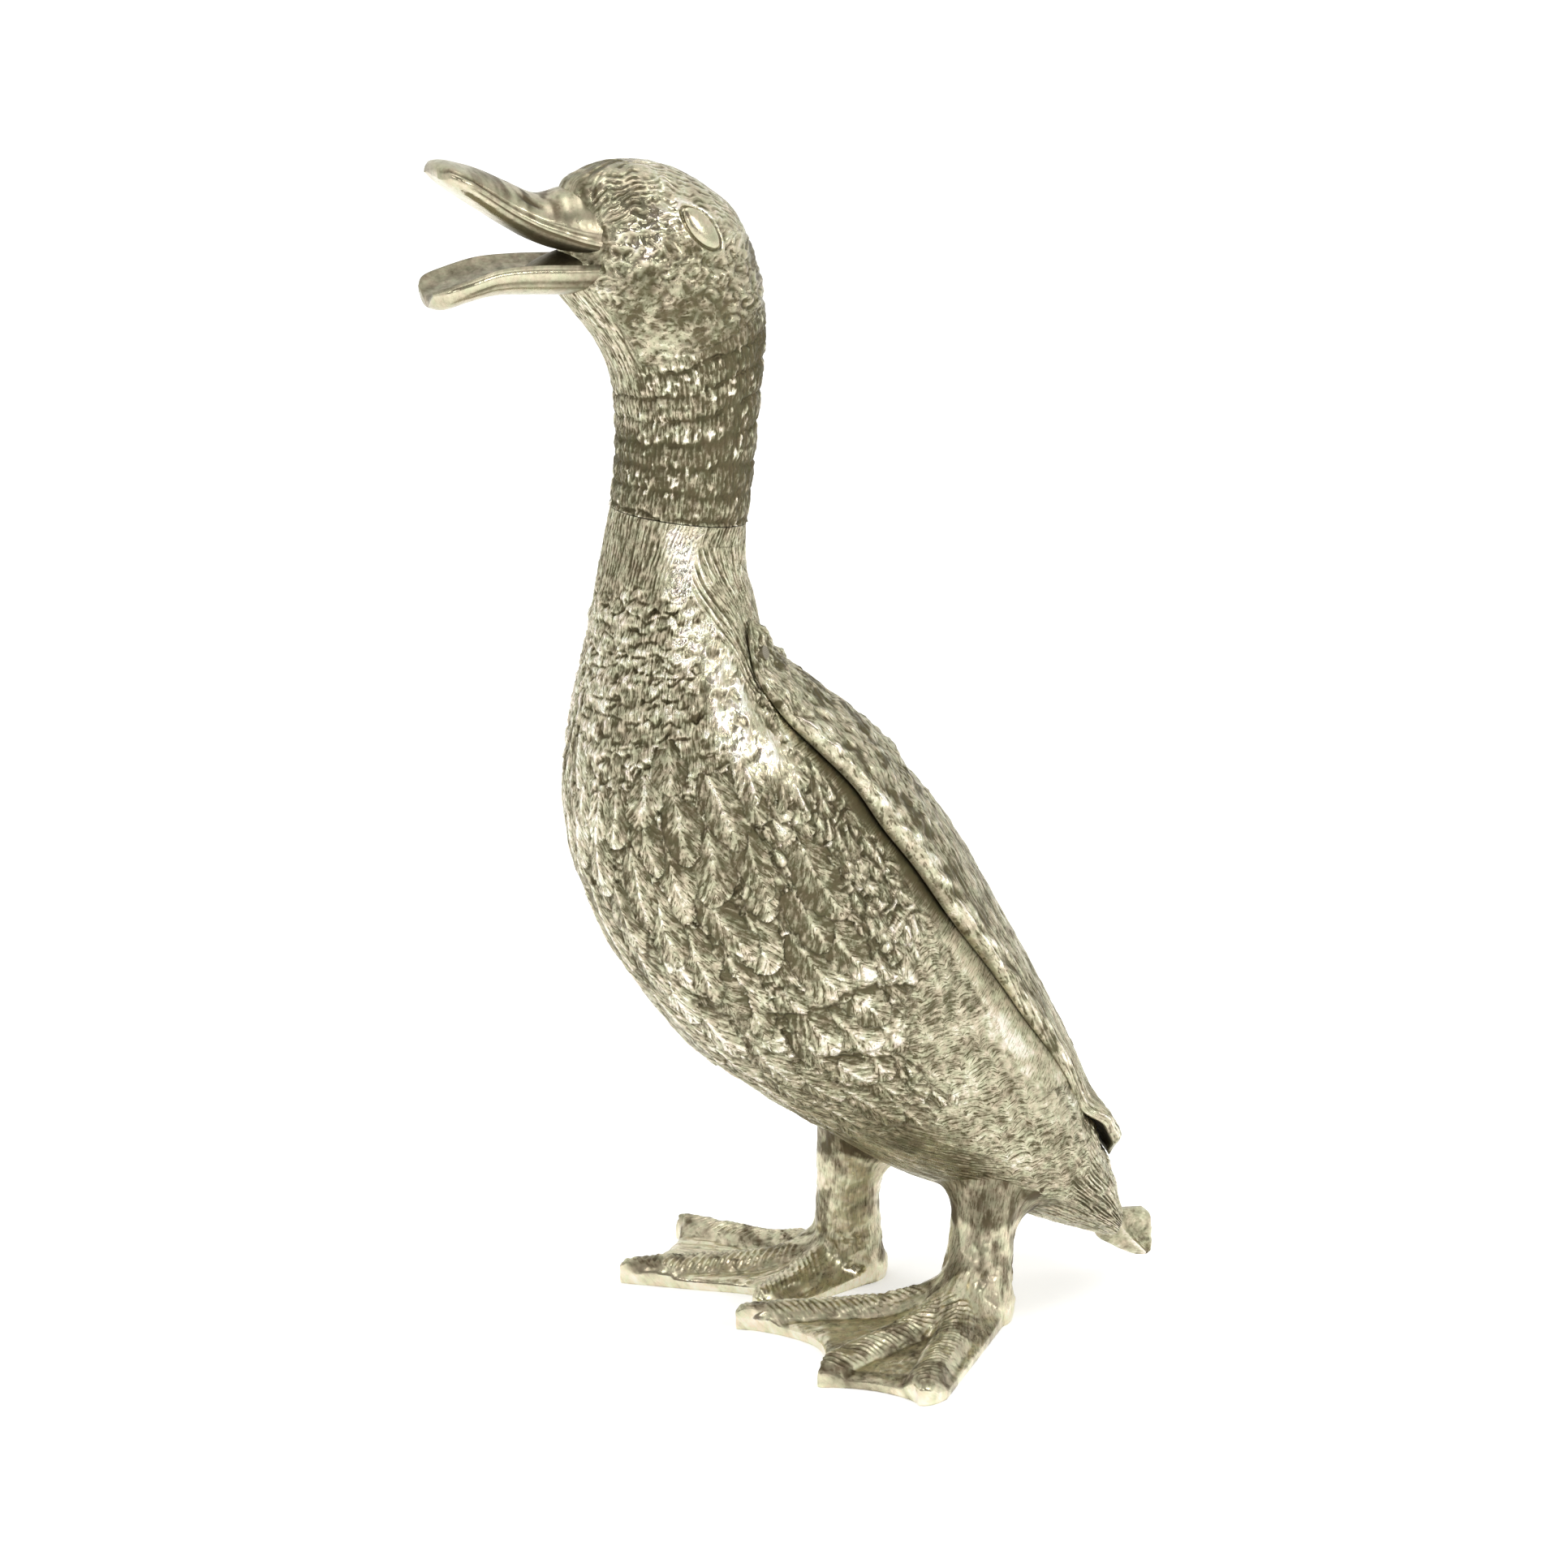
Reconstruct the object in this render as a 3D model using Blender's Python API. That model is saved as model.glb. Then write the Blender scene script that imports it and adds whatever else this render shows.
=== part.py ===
"""Standing duck ornament, cast in pieces, pinned and clamped together, then silver plated.

The duck faces -Y, its left side is +X and it stands on its webbed feet at Z = 0.
Lengths are in metres. The middle of the bounding box's base is at the origin.
"""

import bpy
import bmesh
from bisect import bisect_right
from math import cos, exp, inf, pi, radians, sin, sqrt
from mathutils import Matrix, Vector
from mathutils.bvhtree import BVHTree

MM = 0.001

# Castings: the wall of the hollow ones, and the gap between any two pieces that touch.
CASTING_WALL = 3.0 * MM
TOUCH_GAP = 0.3 * MM

# Neck joint: a tube bridges the seam and fits the bores of the body and of the head.
SLEEVE_RADIUS = 13.6 * MM
SLEEVE_WALL = 1.6 * MM
SLEEVE_DEPTH = 13.0 * MM

# Legs: the ankle's place, the column that leans inwards and, on the left, backwards, and
# the stud that holds it to the body.
LEFT_ANKLE = (22.0 * MM, 45.6 * MM)
RIGHT_ANKLE = (-22.0 * MM, 27.1 * MM)
ANKLE_HEIGHT = 10.0 * MM
SHANK_RADIUS = 9.0 * MM
HEEL_RADIUS = 10.0 * MM
THIGH_RADIUS = 11.4 * MM
THIGH_FLARE = 9.0 * MM
LEG_HEIGHT = 56.0 * MM
LEG_LEAN = 6.5 * MM
LEFT_LEAN_BACK = 10.6 * MM
RIGHT_LEAN_BACK = -1.4 * MM
HEEL_BACK = 1.2 * MM
THIGH_FORWARD = 2.0 * MM

STUD_RADIUS = 2.5 * MM
STUD_DEPTH_IN_LEG = 12.0 * MM
STUD_CLEARANCE = 0.3 * MM
BOSS_RADIUS = 7.0 * MM
BOSS_RISE = 8.0 * MM
WASHER_RADIUS = 5.6 * MM
WASHER_THICKNESS = 1.2 * MM
NUT_ACROSS_FLATS = 8.0 * MM
NUT_HEIGHT = 4.0 * MM
THREAD_SHOWING = 2.5 * MM

# Webbed feet: each toe's angle outwards from straight ahead and its length, the inner toe
# first, then how deep the web's edge is drawn in between the toes.
LEFT_TOES = ((-14.0, 64.0 * MM), (28.5, 66.5 * MM), (54.5, 64.5 * MM))
RIGHT_TOES = ((-28.0, 40.0 * MM), (14.5, 64.5 * MM), (52.5, 56.0 * MM))
LEFT_WEBS = (18.0 * MM, 6.5 * MM)
RIGHT_WEBS = (19.0 * MM, 9.0 * MM)
TOE_HALF_WIDTH = 6.2 * MM
ROOT_HALF_WIDTH = 10.0 * MM
FOOT_PLATE = 3.8 * MM
TOE_RIDGE = 4.0 * MM
TOE_RIDGE_WIDTH = 5.6 * MM
INSTEP_RISE = 9.0 * MM
INSTEP_LENGTH = 30.0 * MM

# Wings: thickness, and the pegs that locate them on the back.
WING_THICKNESS = 2.8 * MM
WING_EDGE_THICKNESS = 1.8 * MM
WING_MIDLINE_GAP = 0.5 * MM
PEG_RADIUS = 2.0 * MM
PEG_SOCKET = 1.2 * MM
FRONT_PEG = (0.07, 0.28)
REAR_PEG = (0.79, 0.30)

# Eyes: almond domes set in sockets, with the long axis tilted down towards the nape.
EYE_LENGTH = 13.0 * MM
EYE_HEIGHT = 7.2 * MM
EYE_DOME = 2.6 * MM
EYE_SINK = 0.9 * MM
EYE_TILT = 50.0
EYE_STATION = 7.85
EYE_ANGLE = 67.0

# Curled tail feather, let into a slot in the tail's end.
CURL_THICKNESS = 2.4 * MM

# Body and lower neck, section by section from the neck seam to the tail.
# Each row: front Y, front Z, back Y, back Z, half width, in millimetres.
BODY_SECTIONS = (
    (-46.9, 226.5, -11.9, 221.5, 18.0),
    (-49.4, 214.5, -11.8, 210.0, 18.4),
    (-51.8, 203.0, -9.8, 202.5, 20.5),
    (-53.4, 191.0, -8.2, 193.8, 24.0),
    (-56.0, 178.5, -6.0, 185.4, 28.5),
    (-58.4, 163.0, 1.0, 177.7, 33.5),
    (-59.0, 146.4, 10.8, 169.8, 38.0),
    (-55.9, 129.1, 20.6, 160.8, 41.0),
    (-48.4, 111.0, 28.2, 151.0, 42.5),
    (-37.8, 94.2, 36.8, 141.0, 42.5),
    (-24.3, 78.2, 45.4, 128.0, 41.5),
    (-7.6, 65.3, 54.2, 113.7, 38.5),
    (10.2, 52.6, 61.9, 99.8, 36.0),
    (30.5, 39.2, 70.1, 84.2, 34.5),
    (51.0, 29.8, 78.2, 67.6, 32.0),
    (70.0, 21.0, 85.4, 51.4, 27.0),
    (83.5, 15.4, 91.2, 38.6, 20.6),
    (93.5, 11.6, 95.4, 26.0, 14.2),
)
CAVITY_END = 14.6
TAIL_ROUND = 1.6 * MM

# Contour feathers of the breast and belly, row by row. Each row: place, angle from the back
# where its columns stop, then in millimetres the spacing round the body, the feather's
# length and half width, and how far its tip stands up.
FEATHER_ROWS = (
    (4.8, 84.0, 9.0, 16.0, 5.6, 0.85),
    (5.4, 88.0, 10.0, 20.0, 6.2, 0.95),
    (6.1, 92.0, 11.0, 23.0, 6.8, 1.00),
    (6.8, 90.0, 11.5, 25.0, 7.2, 1.05),
    (7.5, 94.0, 12.0, 26.0, 7.4, 1.10),
    (8.2, 92.0, 12.0, 26.0, 7.4, 1.10),
    (8.9, 96.0, 12.0, 25.0, 7.2, 1.10),
    (9.6, 98.0, 11.5, 24.0, 7.0, 1.05),
    (10.3, 104.0, 11.0, 22.0, 6.6, 0.95),
    (11.0, 110.0, 10.5, 20.0, 6.2, 0.80),
    (11.7, 116.0, 10.0, 18.0, 5.6, 0.65),
    (12.4, 124.0, 9.5, 16.0, 5.0, 0.50),
)
FEATHER_SUNK = 0.45 * MM
FEATHER_FROM = 80.0

# Mean radius of the body in millimetres at some places, for the feathers' spacing round it.
MEAN_RADIUS = ((0.0, 22.0), (5.0, 34.0), (9.0, 44.0), (12.0, 40.0), (17.0, 22.0))

# Folds where the thigh's feathers lie over the flank: place and angle of points on each fold.
FLANK_FOLDS = (
    ((9.45, 126.0), (9.6, 118.0), (9.75, 106.0), (9.7, 97.0), (10.0, 88.0), (10.4, 78.0)),
    ((10.4, 124.0), (10.6, 116.0), (11.0, 106.0), (11.0, 98.0), (10.8, 92.0)),
)

# Head and upper neck, section by section from the neck seam to the crown, as above.
HEAD_SECTIONS = (
    (-46.9, 226.5, -11.9, 221.5, 18.0),
    (-45.4, 238.0, -10.0, 235.5, 18.0),
    (-45.2, 251.0, -8.4, 250.5, 18.2),
    (-47.0, 261.5, -7.2, 262.0, 18.6),
    (-51.2, 270.5, -6.4, 271.5, 19.2),
    (-57.4, 278.5, -6.9, 281.0, 20.0),
    (-62.2, 285.2, -8.6, 288.8, 20.4),
    (-61.2, 292.0, -11.3, 296.0, 20.2),
    (-60.9, 300.0, -15.2, 303.2, 19.0),
    (-61.2, 306.8, -21.4, 308.4, 16.4),
    (-59.0, 312.0, -28.0, 312.6, 12.6),
    (-52.0, 315.2, -35.0, 315.2, 7.4),
    (-45.0, 316.2, -40.0, 316.2, 2.6),
)
HEAD_CAVITY_END = 9.6
FACE_NARROWING = 0.30

# Upper bill, from its root in the head to its tip.
# Each row: top Y, top Z, lip Y, lip Z, half width, in millimetres.
UPPER_BILL_SECTIONS = (
    (-50.0, 311.0, -50.0, 292.6, 12.2),
    (-60.0, 310.2, -58.0, 293.8, 11.8),
    (-67.0, 309.0, -65.5, 295.8, 10.8),
    (-75.2, 312.6, -73.5, 299.8, 10.4),
    (-83.0, 316.2, -81.6, 305.0, 11.2),
    (-89.5, 317.9, -88.8, 309.8, 11.8),
    (-92.6, 318.0, -92.4, 312.6, 9.8),
    (-93.9, 317.4, -94.1, 314.8, 5.6),
)

# Lower bill, from its root in the head to its tip, as above: rim first, then keel.
LOWER_BILL_SECTIONS = (
    (-50.5, 291.6, -50.5, 283.2, 11.8),
    (-60.0, 292.0, -60.0, 283.2, 11.4),
    (-70.0, 292.4, -70.0, 283.7, 10.8),
    (-79.5, 292.0, -79.5, 284.0, 10.8),
    (-87.5, 290.0, -87.5, 282.6, 11.4),
    (-93.4, 288.2, -93.2, 281.2, 10.4),
    (-96.1, 286.4, -95.8, 281.8, 6.0),
)
BILL_TROUGH = 2.6 * MM
LIP_HEIGHT = 3.6 * MM

# Mouth: how far the gape runs back between the bills, and its height at the lips.
GAPE_BACK = -47.5 * MM
GAPE_FRONT = -66.0 * MM
TONGUE_HALF_WIDTH = 7.0 * MM
# Root of the tongue: places along Y and how high it stands there, in millimetres.
TONGUE_RISES = ((-52.0, 12.0), (-60.0, 7.0), (-67.0, 4.4), (-70.5, 2.4))
TONGUE_SEGMENTS = 16

# Wings, from the shoulder to the tip. Each row: place along the wing, angle of the lower
# edge and of the upper edge from the line of the back, and the gap under the lower edge.
WING_OUTLINE = (
    (0.00, 54.0, 38.0, 0.4),
    (0.05, 58.0, 10.0, 0.8),
    (0.15, 55.0, 1.0, 2.4),
    (0.35, 51.0, 0.6, 3.0),
    (0.55, 51.5, 0.6, 3.0),
    (0.72, 48.5, 0.6, 2.2),
    (0.83, 42.0, 0.6, 0.8),
    (0.91, 34.0, 1.0, 2.2),
    (0.96, 28.0, 1.0, 4.2),
    (1.00, 17.0, 3.0, 5.2),
)
WING_START = 2.5
WING_END = 16.0
BACK_GAP = 0.9 * MM
SHOULDER_SWELL = 1.8 * MM

# Curled tail feather, from its upper edge down to its tip.
# Each row: height, front Y, back Y and bow to the side, in millimetres.
CURL_SECTIONS = (
    (17.0, 100.0, 108.0, 0.5),
    (14.0, 95.0, 108.8, 1.8),
    (10.0, 93.5, 109.0, 2.6),
    (6.6, 98.0, 109.0, 2.2),
    (4.4, 101.0, 108.6, 1.2),
    (3.0, 104.0, 108.0, 0.4),
)
# Smoothness of the turned and lofted shapes.
BACK_SEGMENTS = 7
FRONT_SEGMENTS = 40
HEAD_SEGMENTS = 32
HOLLOW_SEGMENTS = 24
BILL_SEGMENTS = 24
ROUND_SEGMENTS = 20

SILVER = (0.80, 0.77, 0.66)
DARK_SILVER = (0.46, 0.43, 0.35)
BRASS = (0.72, 0.55, 0.28)
STEEL = (0.62, 0.62, 0.63)


def clear_scene():
    for item in list(bpy.data.objects):
        bpy.data.objects.remove(item, do_unlink=True)


def metal(name, colour, roughness):
    material = bpy.data.materials.new(name)
    material.use_nodes = True
    shader = material.node_tree.nodes["Principled BSDF"]
    shader.inputs["Base Color"].default_value = (*colour, 1.0)
    shader.inputs["Metallic"].default_value = 1.0
    shader.inputs["Roughness"].default_value = roughness
    return material


def smooth_row(rows, place):
    """Row at a fractional place, on a smooth curve through the rows."""
    last = len(rows) - 1
    place = min(max(place, 0.0), float(last))
    i = min(int(place), last - 1)
    f = place - i
    before, here, there, after = rows[max(i - 1, 0)], rows[i], rows[i + 1], rows[min(i + 2, last)]
    values = []
    for a, b, c, d in zip(before, here, there, after):
        bend = (2 * a - 5 * b + 4 * c - d) * f * f + (3 * b - a - 3 * c + d) * f ** 3
        values.append(0.5 * (2 * b + (c - a) * f + bend))
    return values


def outline_row(rows, place):
    """Row at a place given by each row's first value, by straight lines between rows."""
    keys = [row[0] for row in rows]
    i = min(max(bisect_right(keys, place) - 1, 0), len(rows) - 2)
    f = (place - keys[i]) / (keys[i + 1] - keys[i])
    ease = f * f * (3 - 2 * f)
    return [a + (b - a) * ease for a, b in zip(rows[i][1:], rows[i + 1][1:])]


def section_point(rows, place, angle, out=0.0, narrowing=0.0):
    """Point on a lofted section. Angle 0 is the back, a quarter turn is the left side."""
    front_y, front_z, back_y, back_z, half_width = [v * MM for v in smooth_row(rows, place)]
    centre = Vector((0.0, (front_y + back_y) / 2, (front_z + back_z) / 2))
    half = Vector((0.0, (back_y - front_y) / 2, (back_z - front_z) / 2))
    reach = half.normalized() * (half.length + out)
    pinch = 1.0 - narrowing * max(0.0, -cos(angle)) ** 2
    side = Vector(((half_width + out) * sin(angle) * pinch, 0.0, 0.0))
    return centre + reach * cos(angle) + side


def section_normal(rows, place, angle):
    """Outward normal of the lofted surface, from its two tangents."""
    step = 0.02
    along = section_point(rows, place + step, angle) - section_point(rows, place - step, angle)
    around = section_point(rows, place, angle + step) - section_point(rows, place, angle - step)
    normal = around.cross(along).normalized()
    if normal.dot(section_point(rows, place, angle) - section_point(rows, place, angle + pi)) < 0:
        normal.negate()
    return normal


def section_ring(rows, place, count, out=0.0, narrowing=0.0):
    turn = 2 * pi / count
    return [section_point(rows, place, i * turn, out, narrowing) for i in range(count)]


def mesh_object(name, bm):
    bmesh.ops.remove_doubles(bm, verts=bm.verts, dist=0.00001)
    bmesh.ops.recalc_face_normals(bm, faces=bm.faces)
    mesh = bpy.data.meshes.new(name)
    bm.to_mesh(mesh)
    bm.free()
    made = bpy.data.objects.new(name, mesh)
    bpy.context.collection.objects.link(made)
    return made


def loft(name, rings):
    """Closed solid through rings of equal length, with a flat face on each end."""
    bm = bmesh.new()
    loops = [[bm.verts.new(point) for point in ring] for ring in rings]
    for lower, upper in zip(loops, loops[1:]):
        for i in range(len(lower)):
            j = (i + 1) % len(lower)
            bm.faces.new((lower[i], lower[j], upper[j], upper[i]))
    bm.faces.new(list(reversed(loops[0])))
    bm.faces.new(loops[-1])
    return mesh_object(name, bm)


def upright_frame(axis):
    """Rotation that turns +Z to the axis."""
    return Vector((0.0, 0.0, 1.0)).rotation_difference(axis).to_matrix().to_4x4()


def rod(name, start, axis, length, radius, sides=ROUND_SEGMENTS):
    bm = bmesh.new()
    middle = start + axis * (length / 2)
    place = Matrix.Translation(middle) @ upright_frame(axis)
    bmesh.ops.create_cone(bm, cap_ends=True, segments=sides, radius1=radius, radius2=radius,
                          depth=length, matrix=place)
    return mesh_object(name, bm)


def tube(name, start, axis, length, radius, bore, sides=ROUND_SEGMENTS, bore_sides=ROUND_SEGMENTS):
    """Turned ring or nut: an outer ring of faces and a bored middle."""
    turned = rod(name, start, axis, length, radius, sides)
    drill = rod(name + "_drill", start - axis * length, axis, 3 * length, bore, bore_sides)
    cut(turned, drill)
    return turned


def cut(target, cutter, operation="DIFFERENCE"):
    """Boolean with a hidden tool object, applied in the order given."""
    step = target.modifiers.new(cutter.name, "BOOLEAN")
    step.operation = operation
    step.solver = "EXACT"
    step.object = cutter
    cutter.hide_render = True
    cutter.display_type = "WIRE"


def finish(piece, material, sharp=35.0):
    piece.data.materials.clear()
    piece.data.materials.append(material)
    piece.data.shade_smooth()
    piece.data.set_sharp_from_angle(angle=radians(sharp))


def seam_frame():
    """Centre of the neck seam and the direction of the neck upwards through it."""
    front_y, front_z, back_y, back_z, _ = [v * MM for v in BODY_SECTIONS[0]]
    centre = Vector((0.0, (front_y + back_y) / 2, (front_z + back_z) / 2))
    across = Vector((0.0, back_y - front_y, back_z - front_z)).normalized()
    return centre, Vector((0.0, -across.z, across.y)), across


def bore_ring(height, radius, count):
    """Ring of the neck bore at a height above the seam, in step with the sections."""
    centre, axis, across = seam_frame()
    turn = 2 * pi / count
    side = Vector((1.0, 0.0, 0.0))
    ring = []
    for i in range(count):
        spoke = across * cos(i * turn) + side * sin(i * turn)
        ring.append(centre + axis * height + spoke * radius)
    return ring


def lofted_places(first, last, step):
    count = max(2, round((last - first) / step))
    return [first + (last - first) * i / count for i in range(count + 1)]


def chance(i, j, seed):
    """Steady pseudo-random number from 0 to 1 for a pair of whole numbers."""
    n = i * 374761393 + j * 668265263 + seed * 1442695041
    n = (n ^ (n >> 13)) & 0xFFFFFFFF
    n = (n * 1274126177) & 0xFFFFFFFF
    return ((n ^ (n >> 16)) & 0xFFFFFF) / 16777216.0


def between(table, key):
    """Value of a two-column table, by straight lines between its rows."""
    i = min(max(bisect_right([row[0] for row in table], key) - 1, 0), len(table) - 2)
    (near, low), (far, high) = table[i], table[i + 1]
    f = min(1.0, max(0.0, (key - near) / (far - near)))
    return low + (high - low) * f


def ease_in(low, high, value):
    f = min(1.0, max(0.0, (value - low) / (high - low)))
    return f * f * (3 - 2 * f)


def contour_feathers():
    """Place, angle, length, half width, lift, lean and number of each feather."""
    feathers = []
    for k, (at, first, spacing, length, half_width, lift) in enumerate(FEATHER_ROWS):
        degree = between(MEAN_RADIUS, at) * radians(1.0)
        for c in range(int((180.0 - first) * degree / spacing) + 1):
            luck = [chance(k, c, 320 + s) for s in range(5)]
            turned = (c + 0.5 * (k % 2) + 0.5 * (luck[0] - 0.5)) * spacing / degree
            place = at + 0.30 * (luck[1] - 0.5)
            long, wide = length * (0.85 + 0.35 * luck[2]), half_width * (0.85 + 0.3 * luck[3])
            shape = (long * MM, wide * MM, lift * MM)
            lean = (luck[4] - 0.5) * 0.30
            feathers.append((place, 180.0 - turned, *shape, lean, 40 * k + c))
            if turned > 1.0:
                feathers.append((place, 180.0 + turned, *shape, -lean, 40 * k + c + 5000))
    return sorted(feathers, key=lambda feather: -feather[0])


def fold_height(place, angle):
    """Lobe over a fold of the flank and the hollow behind it."""
    turned = 180.0 - abs(180.0 - angle)
    height = 0.0
    for fold in FLANK_FOLDS:
        points = sorted((around, at) for at, around in fold)
        inside = ease_in(points[0][0] - 3, points[0][0] + 3, turned)
        inside *= 1 - ease_in(points[-1][0] - 3, points[-1][0] + 3, turned)
        off = (place - between(points, turned)) * 17.0
        height += inside * (0.9 * exp(-((off + 4) / 4.5) ** 2) - 0.5 * exp(-((off - 2) / 2.5) ** 2))
    return height * MM


def body_relief(places, angles):
    """Height over the skin at each ring point, with the feathers laid from the tail forwards."""
    spots = [[section_point(BODY_SECTIONS, place, radians(angle)) for angle in angles] for place in places]
    heights = [[0.0] * len(angles) for _ in places]
    for at, around, length, half_width, lift, lean, number in contour_feathers():
        root = section_point(BODY_SECTIONS, at, radians(around))
        way = section_point(BODY_SECTIONS, at + 0.02, radians(around)) - root
        way.normalize()
        side = section_normal(BODY_SECTIONS, at, radians(around)).cross(way)
        way, side = way * cos(lean) + side * sin(lean), side * cos(lean) - way * sin(lean)
        bend, rise = chance(number, 0, 301) - 0.5, 0.75 + 0.5 * chance(number, 3, 301)
        for i, place in enumerate(places):
            if not at < place < at + 3.0:
                continue
            for j, angle in enumerate(angles):
                offset = spots[i][j] - root
                down = offset.dot(way) / length
                if abs(angle - around) > 25.0 or not 0.0 < down < 1.0:
                    continue
                off = abs(offset.dot(side) - bend * 0.30 * length * down ** 2)
                tip = max(0.0, (down - 0.55) / 0.45)
                width = half_width * (0.40 + 0.60 * sin(pi / 2 * min(1.0, down / 0.6))) * sqrt(1 - tip ** 2)
                if off < width * 0.92:
                    vane = rise * (0.10 + 0.90 * down ** 0.8) - 0.40 * (off / width) ** 2
                    heights[i][j] = lift * vane - FEATHER_SUNK
    for i, place in enumerate(places):
        for j, angle in enumerate(angles):
            heights[i][j] += fold_height(place, angle)
    return heights


def body_angles():
    """Angles of the body's ring points: far apart under the wings, close together in front."""
    back = [FEATHER_FROM * i / BACK_SEGMENTS for i in range(BACK_SEGMENTS)]
    step = (360.0 - 2 * FEATHER_FROM) / FRONT_SEGMENTS
    front = [FEATHER_FROM + step * i for i in range(FRONT_SEGMENTS + 1)]
    return back + front + [360.0 - angle for angle in reversed(back[1:])]


def solid_body(name, out=0.0, start=0.0):
    last, angles = len(BODY_SECTIONS) - 1, body_angles()
    places = [place for place in lofted_places(0.0, 4.5, 0.5) if place >= start]
    places += [place for place in lofted_places(4.75, 14.0, 0.25) if place >= start]
    places += lofted_places(14.5, last, 0.5)
    heights = body_relief(places, angles)
    rings = []
    for place, row in zip(places, heights):
        ring = []
        for angle, height in zip(angles, row):
            point = section_point(BODY_SECTIONS, place, radians(angle), out)
            if height:
                point += section_normal(BODY_SECTIONS, place, radians(angle)) * height
            ring.append(point)
        rings.append(ring)
    tail = sum(rings[-1], Vector()) / len(angles)
    back = Vector((0.0, TAIL_ROUND, 0.0))
    rings.append([tail + (point - tail) * 0.8 + back for point in rings[-1]])
    return loft(name, rings)


def solid_head(name, out=0.0):
    last = len(HEAD_SECTIONS) - 1
    rings = []
    for place in lofted_places(0.0, last, 0.5):
        narrowing = FACE_NARROWING * min(1.0, max(0.0, (place - 3.0) / 3.0))
        rings.append(section_ring(HEAD_SECTIONS, place, HEAD_SEGMENTS, out, narrowing))
    centre, axis, _ = seam_frame()
    for point in rings[0]:
        point += axis * TOUCH_GAP
    return loft(name, rings)


def cavity(name, rows, end, direction, narrow_from=inf):
    """Hollow of a casting: the neck bore, then the sections less the wall."""
    bore, count = SLEEVE_RADIUS + TOUCH_GAP, HOLLOW_SEGMENTS
    rings = [bore_ring(-direction * 5 * MM, bore, count)]
    rings.append(bore_ring(direction * (SLEEVE_DEPTH + TOUCH_GAP), bore, count))
    for place in lofted_places(2.0, end, 1.0):
        narrowing = FACE_NARROWING if place > narrow_from else 0.0
        rings.append(section_ring(rows, place, count, -CASTING_WALL, narrowing))
    return loft(name, rings)


def leg_axis(ankle):
    """Foot of the column and the direction of the leaning leg upwards."""
    foot = Vector((ankle[0], ankle[1], 0.0))
    inwards, back = (-1.0, LEFT_LEAN_BACK) if ankle[0] > 0 else (1.0, RIGHT_LEAN_BACK)
    return foot, Vector((inwards * LEG_LEAN, back, LEG_HEIGHT)).normalized()


def surface_hit(tree, start, axis):
    point, _, _, distance = tree.ray_cast(start, axis)
    if point is None:
        raise ValueError("The leg's axis misses the body")
    return distance


def mesh_tree(solid):
    bm = bmesh.new()
    bm.from_mesh(solid.data)
    tree = BVHTree.FromBMesh(bm)
    bm.free()
    return tree


def leg_seats(outer, hollow):
    """For each leg: foot, axis, and the distance along it to the body's skin and boss top."""
    skin_tree = mesh_tree(outer)
    hollow_tree = mesh_tree(hollow)
    seats = {}
    for side, ankle in (("left", LEFT_ANKLE), ("right", RIGHT_ANKLE)):
        foot, axis = leg_axis(ankle)
        skin = surface_hit(skin_tree, foot, axis)
        floor = surface_hit(hollow_tree, foot, axis)
        seats[side] = (foot, axis, skin, floor + BOSS_RISE)
    return seats


def wing_point(along, across, lift):
    """Point over the left half of the back, lifted from the skin along its normal."""
    low, high, edge_gap = outline_row(WING_OUTLINE, along)
    angle = radians(low + (high - low) * across)
    place = WING_START + (WING_END - WING_START) * along
    skin = section_point(BODY_SECTIONS, place, angle)
    normal = section_normal(BODY_SECTIONS, place, angle)
    gap = edge_gap * MM * (1 - across) ** 2 + BACK_GAP * (1 - (1 - across) ** 2)
    behind = min(1.0, max(0.0, along - 0.1) / 0.5)
    swell = SHOULDER_SWELL * sin(pi * across) * sin(pi * behind)
    point = skin + normal * (gap + swell + lift)
    point.x = max(point.x, WING_MIDLINE_GAP)
    return point


def wing_plate(name, side):
    """One cast wing: an outer and an inner skin that meet in a thin rim."""
    long_steps, wide_steps = 26, 9
    bm = bmesh.new()
    skins = []
    for outer in (False, True):
        grid = []
        for i in range(long_steps + 1):
            along = i / long_steps
            row = []
            for j in range(wide_steps + 1):
                across = j / wide_steps
                edge = min(1.0, 6 * min(along, 1 - along, across + 0.02, 1.02 - across))
                depth = WING_EDGE_THICKNESS + (WING_THICKNESS - WING_EDGE_THICKNESS) * edge
                point = wing_point(along, across, depth if outer else 0.0)
                point.x *= side
                row.append(bm.verts.new(point))
            grid.append(row)
        skins.append(grid)
    inner, outer = skins
    for grid in skins:
        for i in range(long_steps):
            for j in range(wide_steps):
                bm.faces.new((grid[i][j], grid[i + 1][j], grid[i + 1][j + 1], grid[i][j + 1]))
    for i in range(long_steps):
        for j in (0, wide_steps):
            bm.faces.new((inner[i][j], inner[i + 1][j], outer[i + 1][j], outer[i][j]))
    for j in range(wide_steps):
        for i in (0, long_steps):
            bm.faces.new((inner[i][j], inner[i][j + 1], outer[i][j + 1], outer[i][j]))
    return mesh_object(name, bm)


def peg_line(peg, side):
    """Start in the body's skin, direction and length of a wing peg."""
    skin = wing_point(peg[0], peg[1], 0.0)
    low, high, _ = outline_row(WING_OUTLINE, peg[0])
    angle = radians(low + (high - low) * peg[1])
    place = WING_START + (WING_END - WING_START) * peg[0]
    base = section_point(BODY_SECTIONS, place, angle)
    axis = (skin - base).normalized()
    start = base - axis * PEG_SOCKET
    length = (skin - base).length + 2 * PEG_SOCKET
    start.x *= side
    axis.x *= side
    return start, axis, length


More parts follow.
